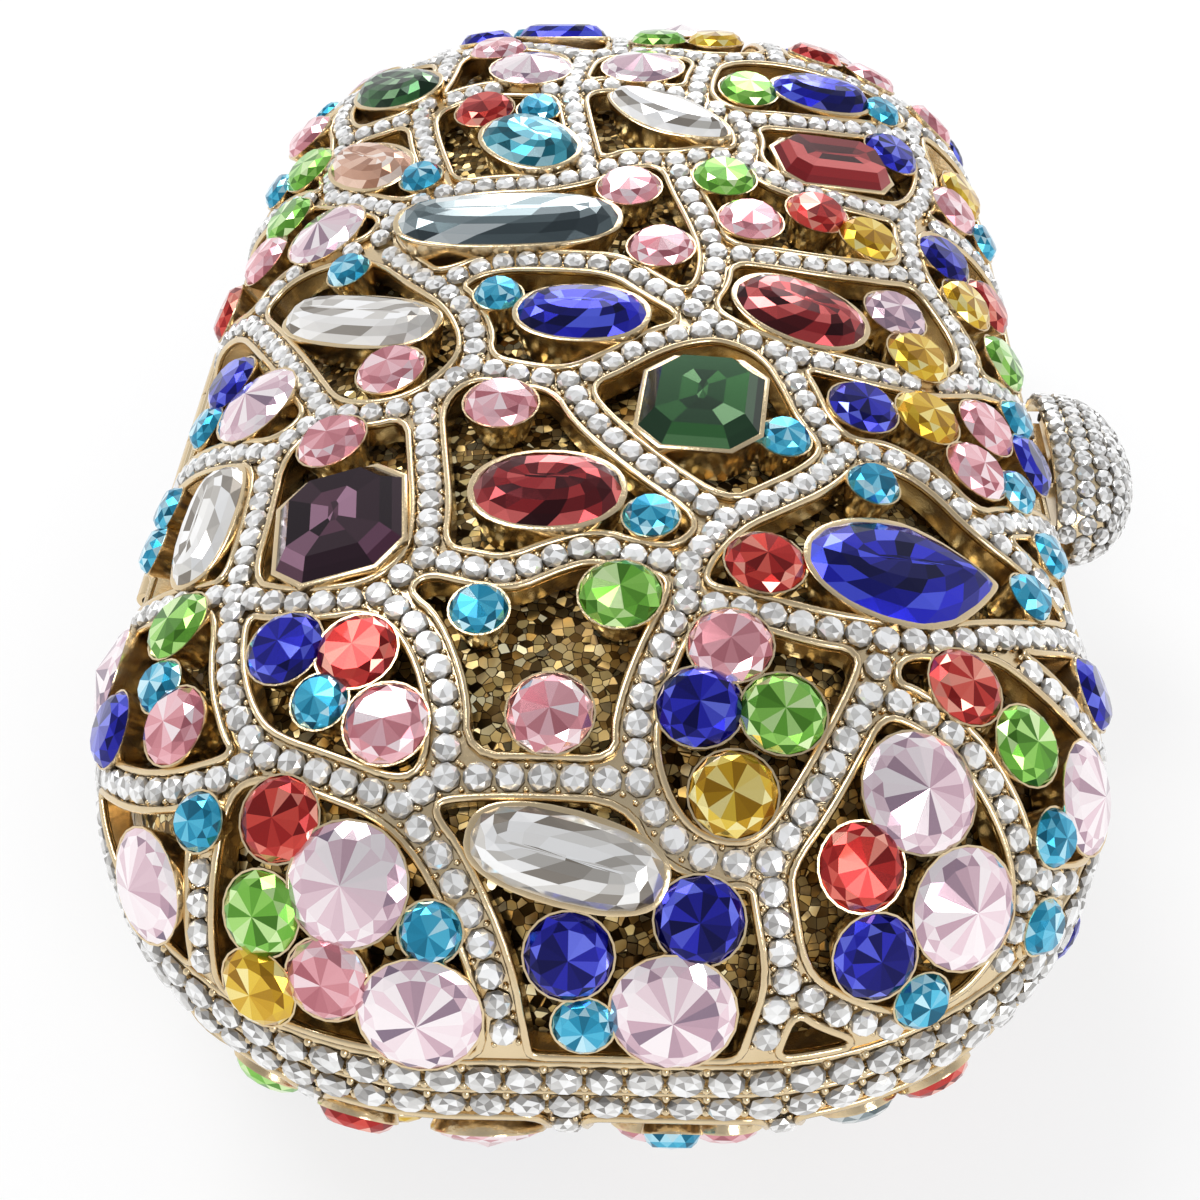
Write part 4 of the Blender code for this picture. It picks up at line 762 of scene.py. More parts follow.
windows = {name: written_out(text) for name, text in window_corners.items()}
print(len(windows), "windows")

# %% Outline of one window
vein_width = 0.0046
border_rail = 0.0012
longest_edge = 0.0150
arc_step = 0.0040
merge_distance = 0.0009
mitre_limit = 0.7
halvings = 30
corner_cut = 0.25


def along_edge(point, following, step):
    """Points from one corner up to the next, no further apart than the step."""
    pieces = max(1, math.ceil(np.linalg.norm(following - point) / step))
    return [point + (following - point) * (k / pieces) for k in range(pieces)]


def around(points):
    """Each point of a closed outline with the one after it."""
    return zip(points, np.roll(points, -1, 0))


def clip_at_rim(points, distance):
    """Cut a flat outline along the loop at one distance from the seam."""
    limit = dome.radius - distance

    def beyond(point):
        return dome.outside_core(point)[2] - limit

    def on_loop(point):
        core, out, length = dome.outside_core(point)
        return core + out * (limit / length)

    def crossing(inside, outside):
        low, high = 0.0, 1.0
        for unused_round in range(halvings):
            middle = (low + high) / 2
            if beyond(inside + (outside - inside) * middle) < 0:
                low = middle
            else:
                high = middle
        return on_loop(inside + (outside - inside) * low)

    start = next(k for k, point in enumerate(points) if beyond(point) < 0)
    kept = []
    leaving = None
    for point, following in around(np.roll(points, -start, 0)):
        if beyond(point) < 0:
            kept.append(point)
            if beyond(following) >= 0:
                leaving = crossing(point, following)
        elif beyond(following) < 0:
            entering = crossing(following, point)
            kept += [on_loop(place) for place in along_edge(leaving, entering, arc_step)]
            kept.append(entering)
    return np.array(kept)


def cut_corners(points, closed=True):
    """Chaikin's rule: each edge keeps its middle half, which rounds every corner."""
    far, near = corner_cut, 1 - corner_cut
    following = np.roll(points, -1, 0) if closed else points[1:]
    start = points if closed else points[:-1]
    pair = np.stack((start * near + following * far, start * far + following * near), axis=1)
    rounded = pair.reshape(-1, 2)
    return rounded if closed else np.vstack((points[:1], rounded, points[-1:]))


def window_outline(corner_names):
    points = np.array([vein_shares[name] for name in corner_names]) * dome.size
    following = np.roll(points, -1, 0)
    if np.sum(points[:, 0] * following[:, 1] - following[:, 0] * points[:, 1]) < 0:
        points = points[::-1]
    fine = np.array([place for a, b in around(points) for place in along_edge(a, b, longest_edge)])
    arriving = unit(fine - np.roll(fine, 1, 0))
    leaving = unit(np.roll(fine, -1, 0) - fine)
    normal = (arriving + leaving)[:, ::-1] * (-1, 1)
    sharpness = np.maximum((normal ** 2).sum(axis=1), mitre_limit)
    drawn_in = fine + normal * (vein_width / sharpness)[:, None]
    clipped = clip_at_rim(drawn_in, rim_height + fit_gap + border_rail)
    spaced = [clipped[0]]
    for point in clipped[1:]:
        if np.linalg.norm(point - spaced[-1]) > merge_distance:
            spaced.append(point)
    if np.linalg.norm(spaced[0] - spaced[-1]) < merge_distance:
        spaced.pop()
    return cut_corners(cut_corners(np.array(spaced)))


outlines = [window_outline(corner_names) for corner_names in windows.values()]
print("longest outline has", max(len(outline) for outline in outlines), "points")

# %% [markdown]
# ## Sheets bent over the dome
#
# The net's floor, the glitter skin and the satin lining are all sheets: a flat pattern cut
# out first and bent over the mould afterwards, as a maker would do it in wax. Delaunay's
# triangulation keeps the triangles short, so that the bent sheet stays smooth.

# %% Flat patterns
weld_distance = 1e-7
inside_constraints = 1


def inside_outline(points, outline):
    """Which flat points lie inside an outline, by counting crossings to their right."""
    inside = np.zeros(len(points), bool)
    for start, end in around(outline):
        spans = (start[1] > points[:, 1]) != (end[1] > points[:, 1])
        rise = end[1] - start[1]
        crossing = start[0] + (points[:, 1] - start[1]) * (end[0] - start[0]) / (rise if rise else 1.0)
        inside ^= spans & (crossing > points[:, 0])
    return inside


def cut_pattern(edge_loop, holes, grid_step=None):
    """Flat points and triangles inside a loop and outside its holes."""
    loops = [edge_loop] + holes
    points = np.vstack(loops)
    edges = []
    start = 0
    for loop in loops:
        count = len(loop)
        edges += [(start + k, start + (k + 1) % count) for k in range(count)]
        start += count
    if grid_step:
        reach = np.abs(edge_loop).max(axis=0)
        ticks = [np.arange(-size, size, grid_step) for size in reach]
        grid = np.stack(np.meshgrid(*ticks), axis=-1).reshape(-1, 2)
        grid = grid[inside_outline(grid, edge_loop * (1 - grid_step / reach.min() / 2))]
        points = np.vstack((points, grid))
    flat = [Vector(point) for point in points]
    made = geometry.delaunay_2d_cdt(flat, edges, [], inside_constraints, weld_distance)
    places = np.array([tuple(place) for place in made[0]])
    triangles = np.array(made[2])
    middles = places[triangles].mean(axis=1)
    keep = np.ones(len(triangles), bool)
    for hole in holes:
        keep &= ~inside_outline(middles, hole)
    return places, triangles[keep]


def bent_slab(pattern, outer, inner):
    """Points and faces of a pattern bent over the dome at two lifts, with closed edges."""
    places, triangles = pattern
    used, triangles = np.unique(triangles, return_inverse=True)
    places = places[used]
    triangles = triangles.reshape(-1, 3)
    count = len(places)
    points = np.vstack((dome.place(places, outer)[0], dome.place(places, inner)[0]))
    directed = np.vstack((triangles[:, (0, 1)], triangles[:, (1, 2)], triangles[:, (2, 0)]))
    known = {(a, b) for a, b in directed.tolist()}
    rim = np.array([(a, b) for a, b in known if (b, a) not in known])
    walls = np.column_stack((rim[:, 1], rim[:, 0], rim[:, 0] + count, rim[:, 1] + count))
    return points, triangles.tolist() + (triangles[:, ::-1] + count).tolist() + walls.tolist()


# %% Net, skin and lining
net_floor = -0.00025
net_bottom = -0.0025
skin_grid = 0.0035
skin_edge = rim_lip + seam_gap
skin_outer = -(casting_depth + shell_clearance)
lining_outer = skin_outer - shell_wall - fit_gap
smooth_sheet = 40
sheets = {
    "net": (
        cut_pattern(dome.seam_loop(rim_height + fit_gap), outlines),
        net_floor, net_bottom, "pale_gold", "lattice",
    ),
    "skin": (
        cut_pattern(dome.seam_loop(skin_edge), [], skin_grid),
        skin_outer, skin_outer - shell_wall, "glitter_bronze", "shell",
    ),
    "satin": (
        cut_pattern(dome.seam_loop(rim_lip), [], skin_grid),
        lining_outer, lining_outer - lining_wall, "cream_satin", "lining",
    ),
}
for half in halves:
    for name, (pattern, outer, inner, finish, node) in sheets.items():
        sheet = Batch()
        sheet.add(*bent_slab(pattern, outer, inner))
        sheet.make(f"{half}_{name}", half, finish, [f"{half}_{node}"], smooth_sheet)

# %% [markdown]
# ## Rails
#
# Every vein is a shallow channel between two raised gold rails, and the crystals lie in the
# channel. The rails are the part of the casting that catches the light, so they are real
# round beads here, swept along each window's edge.

# %% Rails round the windows
rail_radius = 0.00046
rail_sides = 7
rail_lift = 0.00018
rail_inset_share = 0.8
smooth_rail = 60


def add_rail(batch, flat_loop):
    """A round rail along a closed flat loop."""
    centres, normals = dome.place(flat_loop, rail_lift)
    ahead = unit(np.roll(centres, -1, 0) - np.roll(centres, 1, 0))
    aside = unit(np.cross(ahead, normals))
    above = np.cross(aside, ahead)
    turns = even_turns(rail_sides)
    ring = aside[:, None] * np.cos(turns)[None, :, None] + above[:, None] * np.sin(turns)[None, :, None]
    batch.add_rings(centres[:, None] + ring * rail_radius, closed=True)


def moved_out(outline, distance):
    """A closed outline moved to its right-hand side, away from its inside."""
    ahead = unit(np.roll(outline, -1, 0) - np.roll(outline, 1, 0))
    return outline + ahead[:, ::-1] * (1, -1) * distance


for half in halves:
    rails = Batch()
    for outline in outlines:
        add_rail(rails, moved_out(outline, rail_radius * rail_inset_share))
    rails.make(f"{half}_rails", half, "pale_gold", smooth_degrees=smooth_rail)

# %% [markdown]
# ## Rims
#
# Each half ends in a channel of its own at the seam, with a lip on each side and one row of
# larger crystals in it. It is one section carried round the case.

# %% Rim channels
rim_bevel = 0.0002
smooth_turned = 50
rim_section = (
    (seam_gap / 2, -casting_depth), (seam_gap / 2, -rim_bevel), (seam_gap / 2 + rim_bevel, 0.0),
    (rim_lip - rim_bevel, 0.0), (rim_lip, -rim_bevel), (rim_lip, -rim_groove),
    (rim_height - rim_lip, -rim_groove), (rim_height - rim_lip, -rim_bevel),
    (rim_height - rim_lip + rim_bevel, 0.0), (rim_height - rim_bevel, 0.0),
    (rim_height, -rim_bevel), (rim_height, -casting_depth),
)
for half in halves:
    rim = Batch()
    rim.add_rings(
        [dome.place(dome.seam_loop(distance), lift)[0] for distance, lift in rim_section], closed=True
    )
    rim.make(f"{half}_rim_frame", half, "pale_gold", [f"{half}_rim"], smooth_turned)

# %% [markdown]
# ## Cutting a stone
#
# A cut stone is a stack of rings from its girdle to its table. Where each ring is turned by
# half a step against the one below, the bands between them fall into kites and triangles, as
# on a brilliant. Where the rings stay in line, they make the long steps of an emerald cut.
# Each facet gets a tone of its own, a painted reflection, and most tones are near one end of
# the scale or the other.
# On the small crystals the band at the girdle gets painted shade, which sets each off from the next.

# %% Facets from rings
seed = 11
dice = np.random.default_rng(seed)
contrast = (0.75, 0.75)
pale_contrast = (1.1, 0.42)


def facet_faces(rings, sides):
    """Triangles between rings that turn by half a step each, closed by a middle point."""
    number = np.arange(rings * sides).reshape(rings, sides)
    low, high = number[:-1], number[1:]
    next_low, next_high = np.roll(low, -1, 1), np.roll(high, -1, 1)
    up = np.stack((low, next_low, high), axis=-1)
    down = np.stack((next_low, next_high, high), axis=-1)
    bands = np.stack((up, down), axis=2).reshape(-1, 3)
    last = number[-1]
    top = np.column_stack((last, np.roll(last, -1), np.full(sides, rings * sides)))
    return np.vstack((bands, top)).tolist()


def facet_tones(rings, sides, darkest, paired, spread=contrast):
    """A tone for each facet; where they are paired, two triangles make one facet."""
    count = (rings - 1) * sides
    bands = np.repeat(dice.beta(*spread, count), 2) if paired else dice.beta(*spread, count * 2)
    return darkest + (1 - darkest) * np.concatenate((bands, dice.beta(*spread, sides)))


def round_outline(angles):
    return np.column_stack((np.cos(angles), np.sin(angles)))


def cut_stone(outline, sides, rings, stepped=False, slimness=1.0):
    """Points of a stone that stands on its girdle, from pairs of a share and a height."""
    points = []
    for turn, (share, tall) in enumerate(rings):
        flat = outline(even_turns(sides, 0 if stepped else turn / 2))
        lengthwise = 1 - (1 - share) * slimness
        points.append(np.column_stack((flat * (lengthwise, share), np.full(sides, tall))))
    points.append(np.array([[0.0, 0.0, rings[-1][1]]]))
    return np.vstack(points)


def spun(points, turn):
    """The X and Y of points, turned about the origin."""
    x = points[:, 0] * math.cos(turn) - points[:, 1] * math.sin(turn)
    y = points[:, 0] * math.sin(turn) + points[:, 1] * math.cos(turn)
    return np.column_stack((x, y))


def stand(points, centre, normal, turn=0.0):
    """Stone points stood on a centre, with their Z along a normal."""
    side = unit(np.cross((0.0, 1.0, 0.0), normal))
    other = np.cross(normal, side)
    flat = spun(points, turn)
    return centre + side * flat[:, :1] + other * flat[:, 1:] + normal * points[:, 2:]


# %% Three round cuts
crystal_cut = (8, ((1.0, 0.0), (0.93, 0.52), (0.70, 0.90)))
chaton_cut = (12, ((1.0, 0.0), (0.86, 0.54), (0.68, 0.88)))
pointed_cut = (18, ((1.0, 0.0), (0.88, 0.24), (0.72, 0.44)))
# Share of tone kept in the girdle band of the small crystals: painted shade.
girdle_painted_shade = 0.5


def add_round(batch, cut, centre, normal, radius, crown, darkest):
    """One round stone of a given cut; its crown is the height of its highest point."""
    sides, shape = cut
    rings = [(share, tall * crown) for share, tall in shape]
    points = cut_stone(round_outline, sides, rings) * (radius, radius, 1.0)
    points[-1, 2] = crown
    spread = pale_contrast if cut is pointed_cut else contrast
    tones = facet_tones(len(rings), sides, darkest, paired=False, spread=spread)
    if cut is crystal_cut:
        # Painted shade: the girdle band of each small crystal is darkened.
        tones[:sides * 2] *= girdle_painted_shade
    placed = stand(points, centre, normal, dice.uniform(0, 2 * math.pi))
    batch.add(placed, facet_faces(len(rings), sides), tones)


print("cuts ready, seed", seed)

# %% [markdown]
# ## Round stones in cups
#
# Round stones come in three trade sizes. The large ones slope up to a point in front, the
# middle and small ones have steeper sides and a low top. Each stands in a thin turned cup
# whose lip is rolled over its girdle, and the cup reaches down to the skin.

# %% Places and colours of the round stones
large_stone_shares = (
    (-0.318, -0.780), (-0.219, -0.896), (0.117, -0.889), (0.451, -0.682), (0.535, -0.775),
    (0.780, -0.616), (-0.715, -0.762), (-0.854, -0.445), (-0.601, -0.142), (-0.543, 0.175),
    (-0.178, 0.495), (0.049, 0.500), (-0.60, 0.72), (-0.15, 0.86), (0.13, 0.72), (0.475, 0.722),
)
middle_stone_shares = (
    (-0.419, -0.718), (-0.454, -0.798), (-0.481, -0.865), (-0.357, -0.861),
    (-0.019, -0.840), (0.150, -0.808), (0.370, -0.755), (0.400, -0.830),
    (0.191, -0.560), (0.149, -0.622), (0.261, -0.626), (0.193, -0.701),
    (-0.432, -0.550), (-0.323, -0.565), (-0.272, -0.640), (0.039, -0.505), (-0.051, -0.630),
    (0.527, -0.566), (0.631, -0.604), (-0.639, -0.473), (-0.609, -0.601), (-0.774, -0.556),
    (-0.426, -0.260), (-0.158, -0.233), (0.242, -0.463), (0.820, -0.470),
    (0.416, -0.200), (0.531, -0.183), (0.656, -0.148), (0.613, -0.240), (0.775, -0.145),
    (0.500, -0.006), (0.532, -0.076), (0.031, 0.185), (0.090, 0.056), (-0.348, -0.155),
    (-0.689, -0.060), (-0.700, 0.202), (-0.661, 0.268), (-0.820, 0.175), (-0.258, 0.385),
    (0.205, 0.215), (0.249, 0.125), (0.373, 0.165), (0.469, 0.138), (0.548, 0.370),
    (0.259, 0.440), (-0.255, 0.580), (0.635, 0.170), (0.671, 0.095), (0.755, 0.030),
    (0.742, 0.138), (0.694, 0.320), (0.735, 0.388), (-0.640, 0.380), (-0.680, 0.500),
    (0.700, 0.580), (0.800, 0.635), (-0.520, 0.800), (-0.300, 0.700), (-0.310, 0.790),
    (-0.360, 0.870), (0.200, 0.630), (0.080, 0.640), (0.090, 0.820), (0.200, 0.820),
    (0.420, 0.635), (0.548, 0.628), (0.420, 0.800), (0.550, 0.795),
)
small_stone_shares = (
    (-0.200, -0.822), (0.0, -0.903), (0.492, -0.865), (-0.369, -0.613), (-0.157, -0.524),
    (0.696, -0.681), (0.735, -0.780), (-0.555, -0.705), (-0.649, -0.547), (-0.790, -0.225),
    (-0.805, -0.283), (0.080, -0.408), (0.282, -0.275), (0.417, -0.324), (0.678, -0.404),
    (-0.184, -0.037), (-0.730, -0.119), (0.751, -0.083), (0.699, -0.235), (0.765, -0.300),
    (-0.470, 0.065), (-0.362, 0.240), (-0.152, 0.375), (0.541, 0.475), (0.785, 0.315),
    (-0.730, 0.390), (-0.700, 0.660), (-0.205, 0.735), (0.120, 0.895),
)
middle_stone_colours = (
    "red green amber rose blue blue red blue rose blue green amber blue red rose green rose "
    "red green green rose blue rose rose red blue blue amber rose rose blue "
    "rose_pale amber rose rose rose blue rose green red red green rose red amber blue "
    "green rose blue amber green red rose amber green rose rose blue green blue rose "
    "red amber green blue red red rose blue green"
).split()
print(len(middle_stone_shares), "middle stones,", len(middle_stone_colours), "colours")

# %% Cups and round stones
cup_lift = 0.00095
cup_wall = 0.0004
cup_foot = skin_outer + fit_gap
cup_foot_share = 0.72
girdle_share = 0.55
cup_sides = 22
roll_radius = 0.00012
girdle_sink = 0.00005
chaton_crown = 0.0015
pointed_crown = 0.0020
large_radius = 0.0113 / 2
middle_radius = 0.0079 / 2
small_radius = 0.0055 / 2
stone_darkest = 0.04


class RoundStone:
    """A round stone's shares on the map, its size, cut and colour, and its place on the dome."""

    def __init__(self, shares, radius, cut, crown, colour):
        self.shares = shares
        self.radius = radius
        self.cut = cut
        self.crown = crown
        self.colour = colour
        flat = dome.keep_from_seam(np.array(shares) * dome.size, rim_height + fit_gap + radius)
        self.centre, self.normal = dome.place_one(flat)


def add_cup(batch, stone):
    """A turned cup, from its foot up over its rolled lip."""
    wall = stone.radius + cup_wall
    section = (
        (stone.radius * cup_foot_share, cup_foot), (wall, cup_lift - roll_radius * 2), (wall, cup_lift),
        (stone.radius + cup_wall / 2, cup_lift), (stone.radius, cup_lift - cup_wall),
    )
    circle = round_outline(even_turns(cup_sides))
    rings = []
    for reach, tall in section:
        ring = np.column_stack((circle * reach, np.full(cup_sides, tall)))
        rings.append(stand(ring, stone.centre, stone.normal))
    batch.add_rings(rings)


round_stones = []
for places, radius, cut, crown, colours in (
    (large_stone_shares, large_radius, pointed_cut, pointed_crown, itertools.repeat("rose_pale")),
    (middle_stone_shares, middle_radius, chaton_cut, chaton_crown, middle_stone_colours),
    (small_stone_shares, small_radius, chaton_cut, chaton_crown, itertools.repeat("cyan")),
):
    for shares, colour in zip(places, colours):
        round_stones.append(RoundStone(shares, radius, cut, crown, colour))
back_colours = {
    (-0.520, 0.800): "green", (-0.360, 0.870): "red", (-0.310, 0.790): "amber", (-0.15, 0.86): "rose",
    (0.090, 0.820): "rose", (0.200, 0.820): "rose", (0.420, 0.800): "smoky", (0.550, 0.795): "red",
}
for half in halves:
    cups = Batch()
    by_colour = {}
    for stone in round_stones:
        add_cup(cups, stone)
        colour = back_colours.get(stone.shares, stone.colour) if half == "back" else stone.colour
        batch = by_colour.setdefault(colour, Batch())
        girdle = stone.centre + stone.normal * (cup_lift - girdle_sink)
        reach = stone.radius + cup_wall * girdle_share
        add_round(batch, stone.cut, girdle, stone.normal, reach, stone.crown, stone_darkest)
    cups.make(f"{half}_cups", half, "pale_gold", smooth_degrees=smooth_turned)
    for colour, batch in by_colour.items():
        batch.make(f"{half}_round_{colour}", half, colour)

# %% [markdown]
# ## Fancy stones
#
# The seventeen fancy stones of a half each have their own cut and a smooth bezel. The ones
# near the top lie level, at one height, which also gives the clutch its feet when it is laid
# down. An oval, a pear and a navette are one outline formula, squeezed at its ends.

# %% Cuts, sizes and places of the fancy stones
fancy_length = 0.0160
fancy_stones = {
    "smoky_oval": ("oval", 3, "smoky", (1.75, 0.72), (-0.182, 0.105)),
    "royal_oval": ("oval", -3, "royal", (0.97, 0.66), (-0.040, -0.080)),
    "green_octagon": ("octagon", 84, "forest", (0.97, 0.84), (0.157, -0.238)),
    "garnet_oval": ("oval", 0, "garnet", (0.99, 0.74), (-0.073, -0.375)),
    "amethyst_octagon": ("octagon", 97, "amethyst", (1.00, 0.88), (-0.380, -0.398)),
    "royal_pear": ("pear", 10, "royal", (1.34, 0.91), (0.450, -0.440)),
    "clear_bar": ("oval", -14, "clear", (1.16, 0.51), (-0.023, -0.758)),
    "clear_side_oval": ("oval", 87, "clear", (1.12, 0.53), (-0.632, -0.330)),
    "clear_oval": ("oval", -27, "clear", (1.44, 0.56), (-0.425, -0.045)),
    "garnet_right_oval": ("oval", -22, "garnet", (1.03, 0.75), (0.326, -0.045)),
    "teal_oval": ("oval", -45, "teal", (0.91, 0.70), (-0.160, 0.285)),
    "clear_navette": ("navette", -35, "clear", (1.22, 0.53), (0.102, 0.352)),
    "garnet_octagon": ("octagon", 15, "garnet", (1.00, 0.64), (0.415, 0.290)),
    "royal_far_oval": ("oval", 12, "royal", (0.94, 0.56), (0.410, 0.467)),
    "peach_oval": ("oval", -45, "peach", (1.00, 0.59), (-0.478, 0.305)),
    "green_far_oval": ("oval", -40, "forest", (1.00, 0.66), (-0.460, 0.505)),
    "royal_end_oval": ("oval", -8, "royal", (0.88, 0.56), (-0.130, 0.700)),
}
level_stones = ("smoky_oval", "royal_oval", "green_octagon", "garnet_oval", "teal_oval", "clear_navette")
print("level stones:", *level_stones)

# %% Outline of a cut, and the seat of its stone
bezel_wall = 0.0004
bezel_lift = 0.0009
bezel_foot_share = 0.86
fancy_crown = 0.0020
rest_proud = 0.0032
pear_point_share = 0.62
navette_point_share = 0.35
octagon_corner_share = 0.22
long_fullness = 0.76
short_fullness = 0.92


def fancy_outline(cut, length, width):
    """The outline of a cut as a function of its angles, with its length along X."""
    half_length = length / 2
    half_width = width / 2
    if cut == "octagon":
        corner = half_width * octagon_corner_share * 2
        near = np.array((half_length - corner, half_width - corner))
        full = np.array((half_length, half_width))
        quarter = np.array(((full[0], near[1]), (near[0], full[1])))
        corners = np.vstack((
            quarter, quarter[::-1] * (-1, 1), quarter * (-1, -1), quarter[::-1] * (1, -1),
        ))
        return lambda angles: corners

    def outline(angles):
        x = np.cos(angles)
        y = np.sin(angles)
        if cut == "oval":
            fullness = long_fullness if width < length / 2 else short_fullness
            x, y = (np.sign(part) * np.abs(part) ** fullness for part in (x, y))
        if cut == "navette":
            y = y * (1 - navette_point_share * x * x)
        if cut == "pear":
            y = y * (1 - pear_point_share * np.maximum(0.0, x) ** 2)
        return np.column_stack((x * half_length, y * half_width))

    return outline


class Seat:
    """A fancy stone's outline and where it sits: its centre, axes and its bezel's height."""

    def __init__(self, name):
        self.cut, degrees, self.colour, size_shares, place_shares = fancy_stones[name]
        self.length, self.width = (share * fancy_length for share in size_shares)
        self.outline = fancy_outline(self.cut, self.length, self.width)
        self.turn = math.radians(degrees)
        self.flat = np.array(place_shares) * dome.size
        self.centre, self.normal = dome.place_one(self.flat)
        end = np.array((math.cos(self.turn), math.sin(self.turn))) * (self.length / 2)
        far_point = dome.place_one(self.flat + end)[0]
        self.lip = bezel_lift - (self.centre - far_point) @ self.normal / 2
        if name in level_stones:
            self.normal = np.array((0.0, 0.0, 1.0))
            self.lip = half_height + rest_proud - fancy_crown - self.centre[2]
        along = dome.place_one(self.flat + (fit_gap, 0))[0] - self.centre
        self.side = unit(along - self.normal * (along @ self.normal))
        self.other = np.cross(self.normal, self.side)

    def to_case(self, points, lift):
        flat = spun(points, self.turn)
        raised = self.normal * np.reshape(lift, (-1, 1))
        return self.centre + self.side * flat[:, :1] + self.other * flat[:, 1:] + raised

    def foot(self, points):
        flat = self.flat + spun(points, self.turn) * bezel_foot_share
        return dome.place(flat, cup_foot)[0]


print(len(fancy_stones), "fancy stones a half")

# %% Stones and bezels
brilliant_rings = ((1.0, 0.0), (0.82, 0.52), (0.60, 0.88), (0.36, 1.0), (0.06, 1.0))
step_rings = ((1.0, 0.0), (0.86, 0.50), (0.72, 1.0), (0.36, 1.0), (0.08, 1.0))
brilliant_sides = 16
step_sides = 8
bezel_sides = 40
fancy_darkest = 0.02
seats = {name: Seat(name) for name in fancy_stones}


def grown(outline, amount):
    return outline + unit(outline) * amount


def add_fancy(batch, seat):
    stepped = seat.cut == "octagon"
    sides = step_sides if stepped else brilliant_sides
    rings = [(share, tall * fancy_crown) for share, tall in (step_rings if stepped else brilliant_rings)]
    points = cut_stone(seat.outline, sides, rings, stepped, seat.width / seat.length)
    solid = seat.to_case(points[:, :2], seat.lip + points[:, 2])
    tones = facet_tones(len(rings), sides, fancy_darkest, paired=True)
    batch.add(solid, facet_faces(len(rings), sides), tones)


def add_bezel(batch, seat):
    outline = seat.outline(even_turns(bezel_sides))
    section = (
        (bezel_wall, -roll_radius * 2), (bezel_wall, roll_radius),
        (bezel_wall / 2, roll_radius * 2), (-bezel_wall, roll_radius * 1.5), (-bezel_wall, -bezel_wall),
    )
    rings = [seat.foot(grown(outline, bezel_wall))]
    for amount, tall in section:
        rings.append(seat.to_case(grown(outline, amount), seat.lip + tall))
    batch.add_rings(rings)


for half in halves:
    bezels = Batch()
    for name, seat in seats.items():
        stone = Batch()
        add_fancy(stone, seat)
        stone.make(f"{half}_stone_{name}", half, seat.colour, [f"{half}_{name}"])
        add_bezel(bezels, seat)
    bezels.make(f"{half}_bezels", half, "pale_gold", smooth_degrees=smooth_turned)

# %% [markdown]
# ## Crystals in the veins
#
# A vein runs wherever two windows share an edge. Chaining those shared edges from junction to
# junction gives the centre lines, and crystals are set along them at one pitch, as a setter
# would, with small gold beads between. None is set where a cup or a bezel covers the vein.

# %% Centre lines of the veins
crystal_pitch = 0.00290


def shared_edges():
    """Pairs of corners that are edges of two windows."""
    counts = {}
    for names in windows.values():
        for first, second in zip(names, names[1:] + names[:1]):
            pair = tuple(sorted((first, second)))
            counts[pair] = counts.get(pair, 0) + 1
    return [pair for pair, count in sorted(counts.items()) if count == 2]


def vein_chains(edges):
    """Runs of corners from one junction to the next."""
    linked = {}
    for first, second in edges:
        linked.setdefault(first, []).append(second)
        linked.setdefault(second, []).append(first)
    left = {frozenset(edge) for edge in edges}
    chains = []
    for start in sorted(name for name, others in linked.items() if len(others) != 2):
        for step in linked[start]:
            chain = [start]
            following = step
            while frozenset((chain[-1], following)) in left:
                left.remove(frozenset((chain[-1], following)))
                chain.append(following)
                if len(linked[following]) != 2:
                    break
                following = next(name for name in linked[following] if name != chain[-2])
            if len(chain) > 1:
                chains.append(chain)
    return chains


def even_along(flat, pitch, closed=False):
    """Flat points spaced evenly along a flat line, as measured on the dome."""
    if closed:
        flat = np.vstack((flat, flat[:1]))
    along = run_lengths(np.linalg.norm(np.diff(dome.place(flat)[0], axis=0), axis=1))
    count = max(1, round(along[-1] / pitch))
    marks = np.linspace(0, along[-1], count + 1)
    if closed:
        marks = marks[:-1]
    return np.column_stack([np.interp(marks, along, flat[:, axis]) for axis in (0, 1)])


chains = vein_chains(shared_edges())
print(len(chains), "veins")

# %% Where crystals and beads go
crystal_radius = 0.00145
bead_radius = 0.00034
beside_share = 0.8
closest_share = 1.66
bezel_checks = 24
border = rim_height + fit_gap + crystal_radius * beside_share


def covered(places, room):
    """Which flat places a cup or a bezel reaches over."""
    hidden = np.zeros(len(places), bool)
    solid = dome.place(places)[0]
    for stone in round_stones:
        hidden |= np.linalg.norm(solid - stone.centre, axis=1) < stone.radius + cup_wall + room
    for seat in seats.values():
        outline = grown(seat.outline(even_turns(bezel_checks)), bezel_wall + room)
        bezel = seat.flat + spun(outline, seat.turn)
        hidden |= inside_outline(places, bezel)
    return hidden


def beside(ahead, radius):
    """Steps to the right of a line that goes ahead, towards the gap between two crystals."""
    return unit(ahead)[:, ::-1] * (1, -1) * radius * beside_share


def free_places(places, room):
    """The flat places that are clear of the rim, and that no setting reaches over."""
    places = places[dome.from_seam(places) > border]
    return places[~covered(places, room)]


crystal_places = []
bead_places = []
for chain in chains:
    line = np.array([vein_shares[name] for name in chain]) * dome.size
    line = cut_corners(cut_corners(line, closed=False), closed=False)
    marks = even_along(line, crystal_pitch)
    crystal_places += list(marks)
    middles = (marks[1:] + marks[:-1]) / 2
    aside = beside(marks[1:] - marks[:-1], crystal_radius)
    bead_places += list(middles + aside) + list(middles - aside)
spaced = []
for place in free_places(np.array(crystal_places), 0.0):
    if all(np.linalg.norm(place - other) > crystal_radius * closest_share for other in spaced):
        spaced.append(place)
crystal_places = np.array(spaced)
bead_places = free_places(np.array(bead_places), bead_radius)
print(len(crystal_places), "vein crystals and", len(bead_places), "beads a half")

# %% Set the crystals and beads
crystal_crown = 0.00105
crystal_lift = -0.00002
crystal_darkest = 0.22
bead_cut = (5, ((1.0, 0.0), (0.75, 0.7)))
smooth_bead = 80


def add_crystals(batch, points, normals, radius, crown, darkest):
    for centre, normal in zip(points, normals):
        add_round(batch, crystal_cut, centre, normal, radius, crown, darkest)


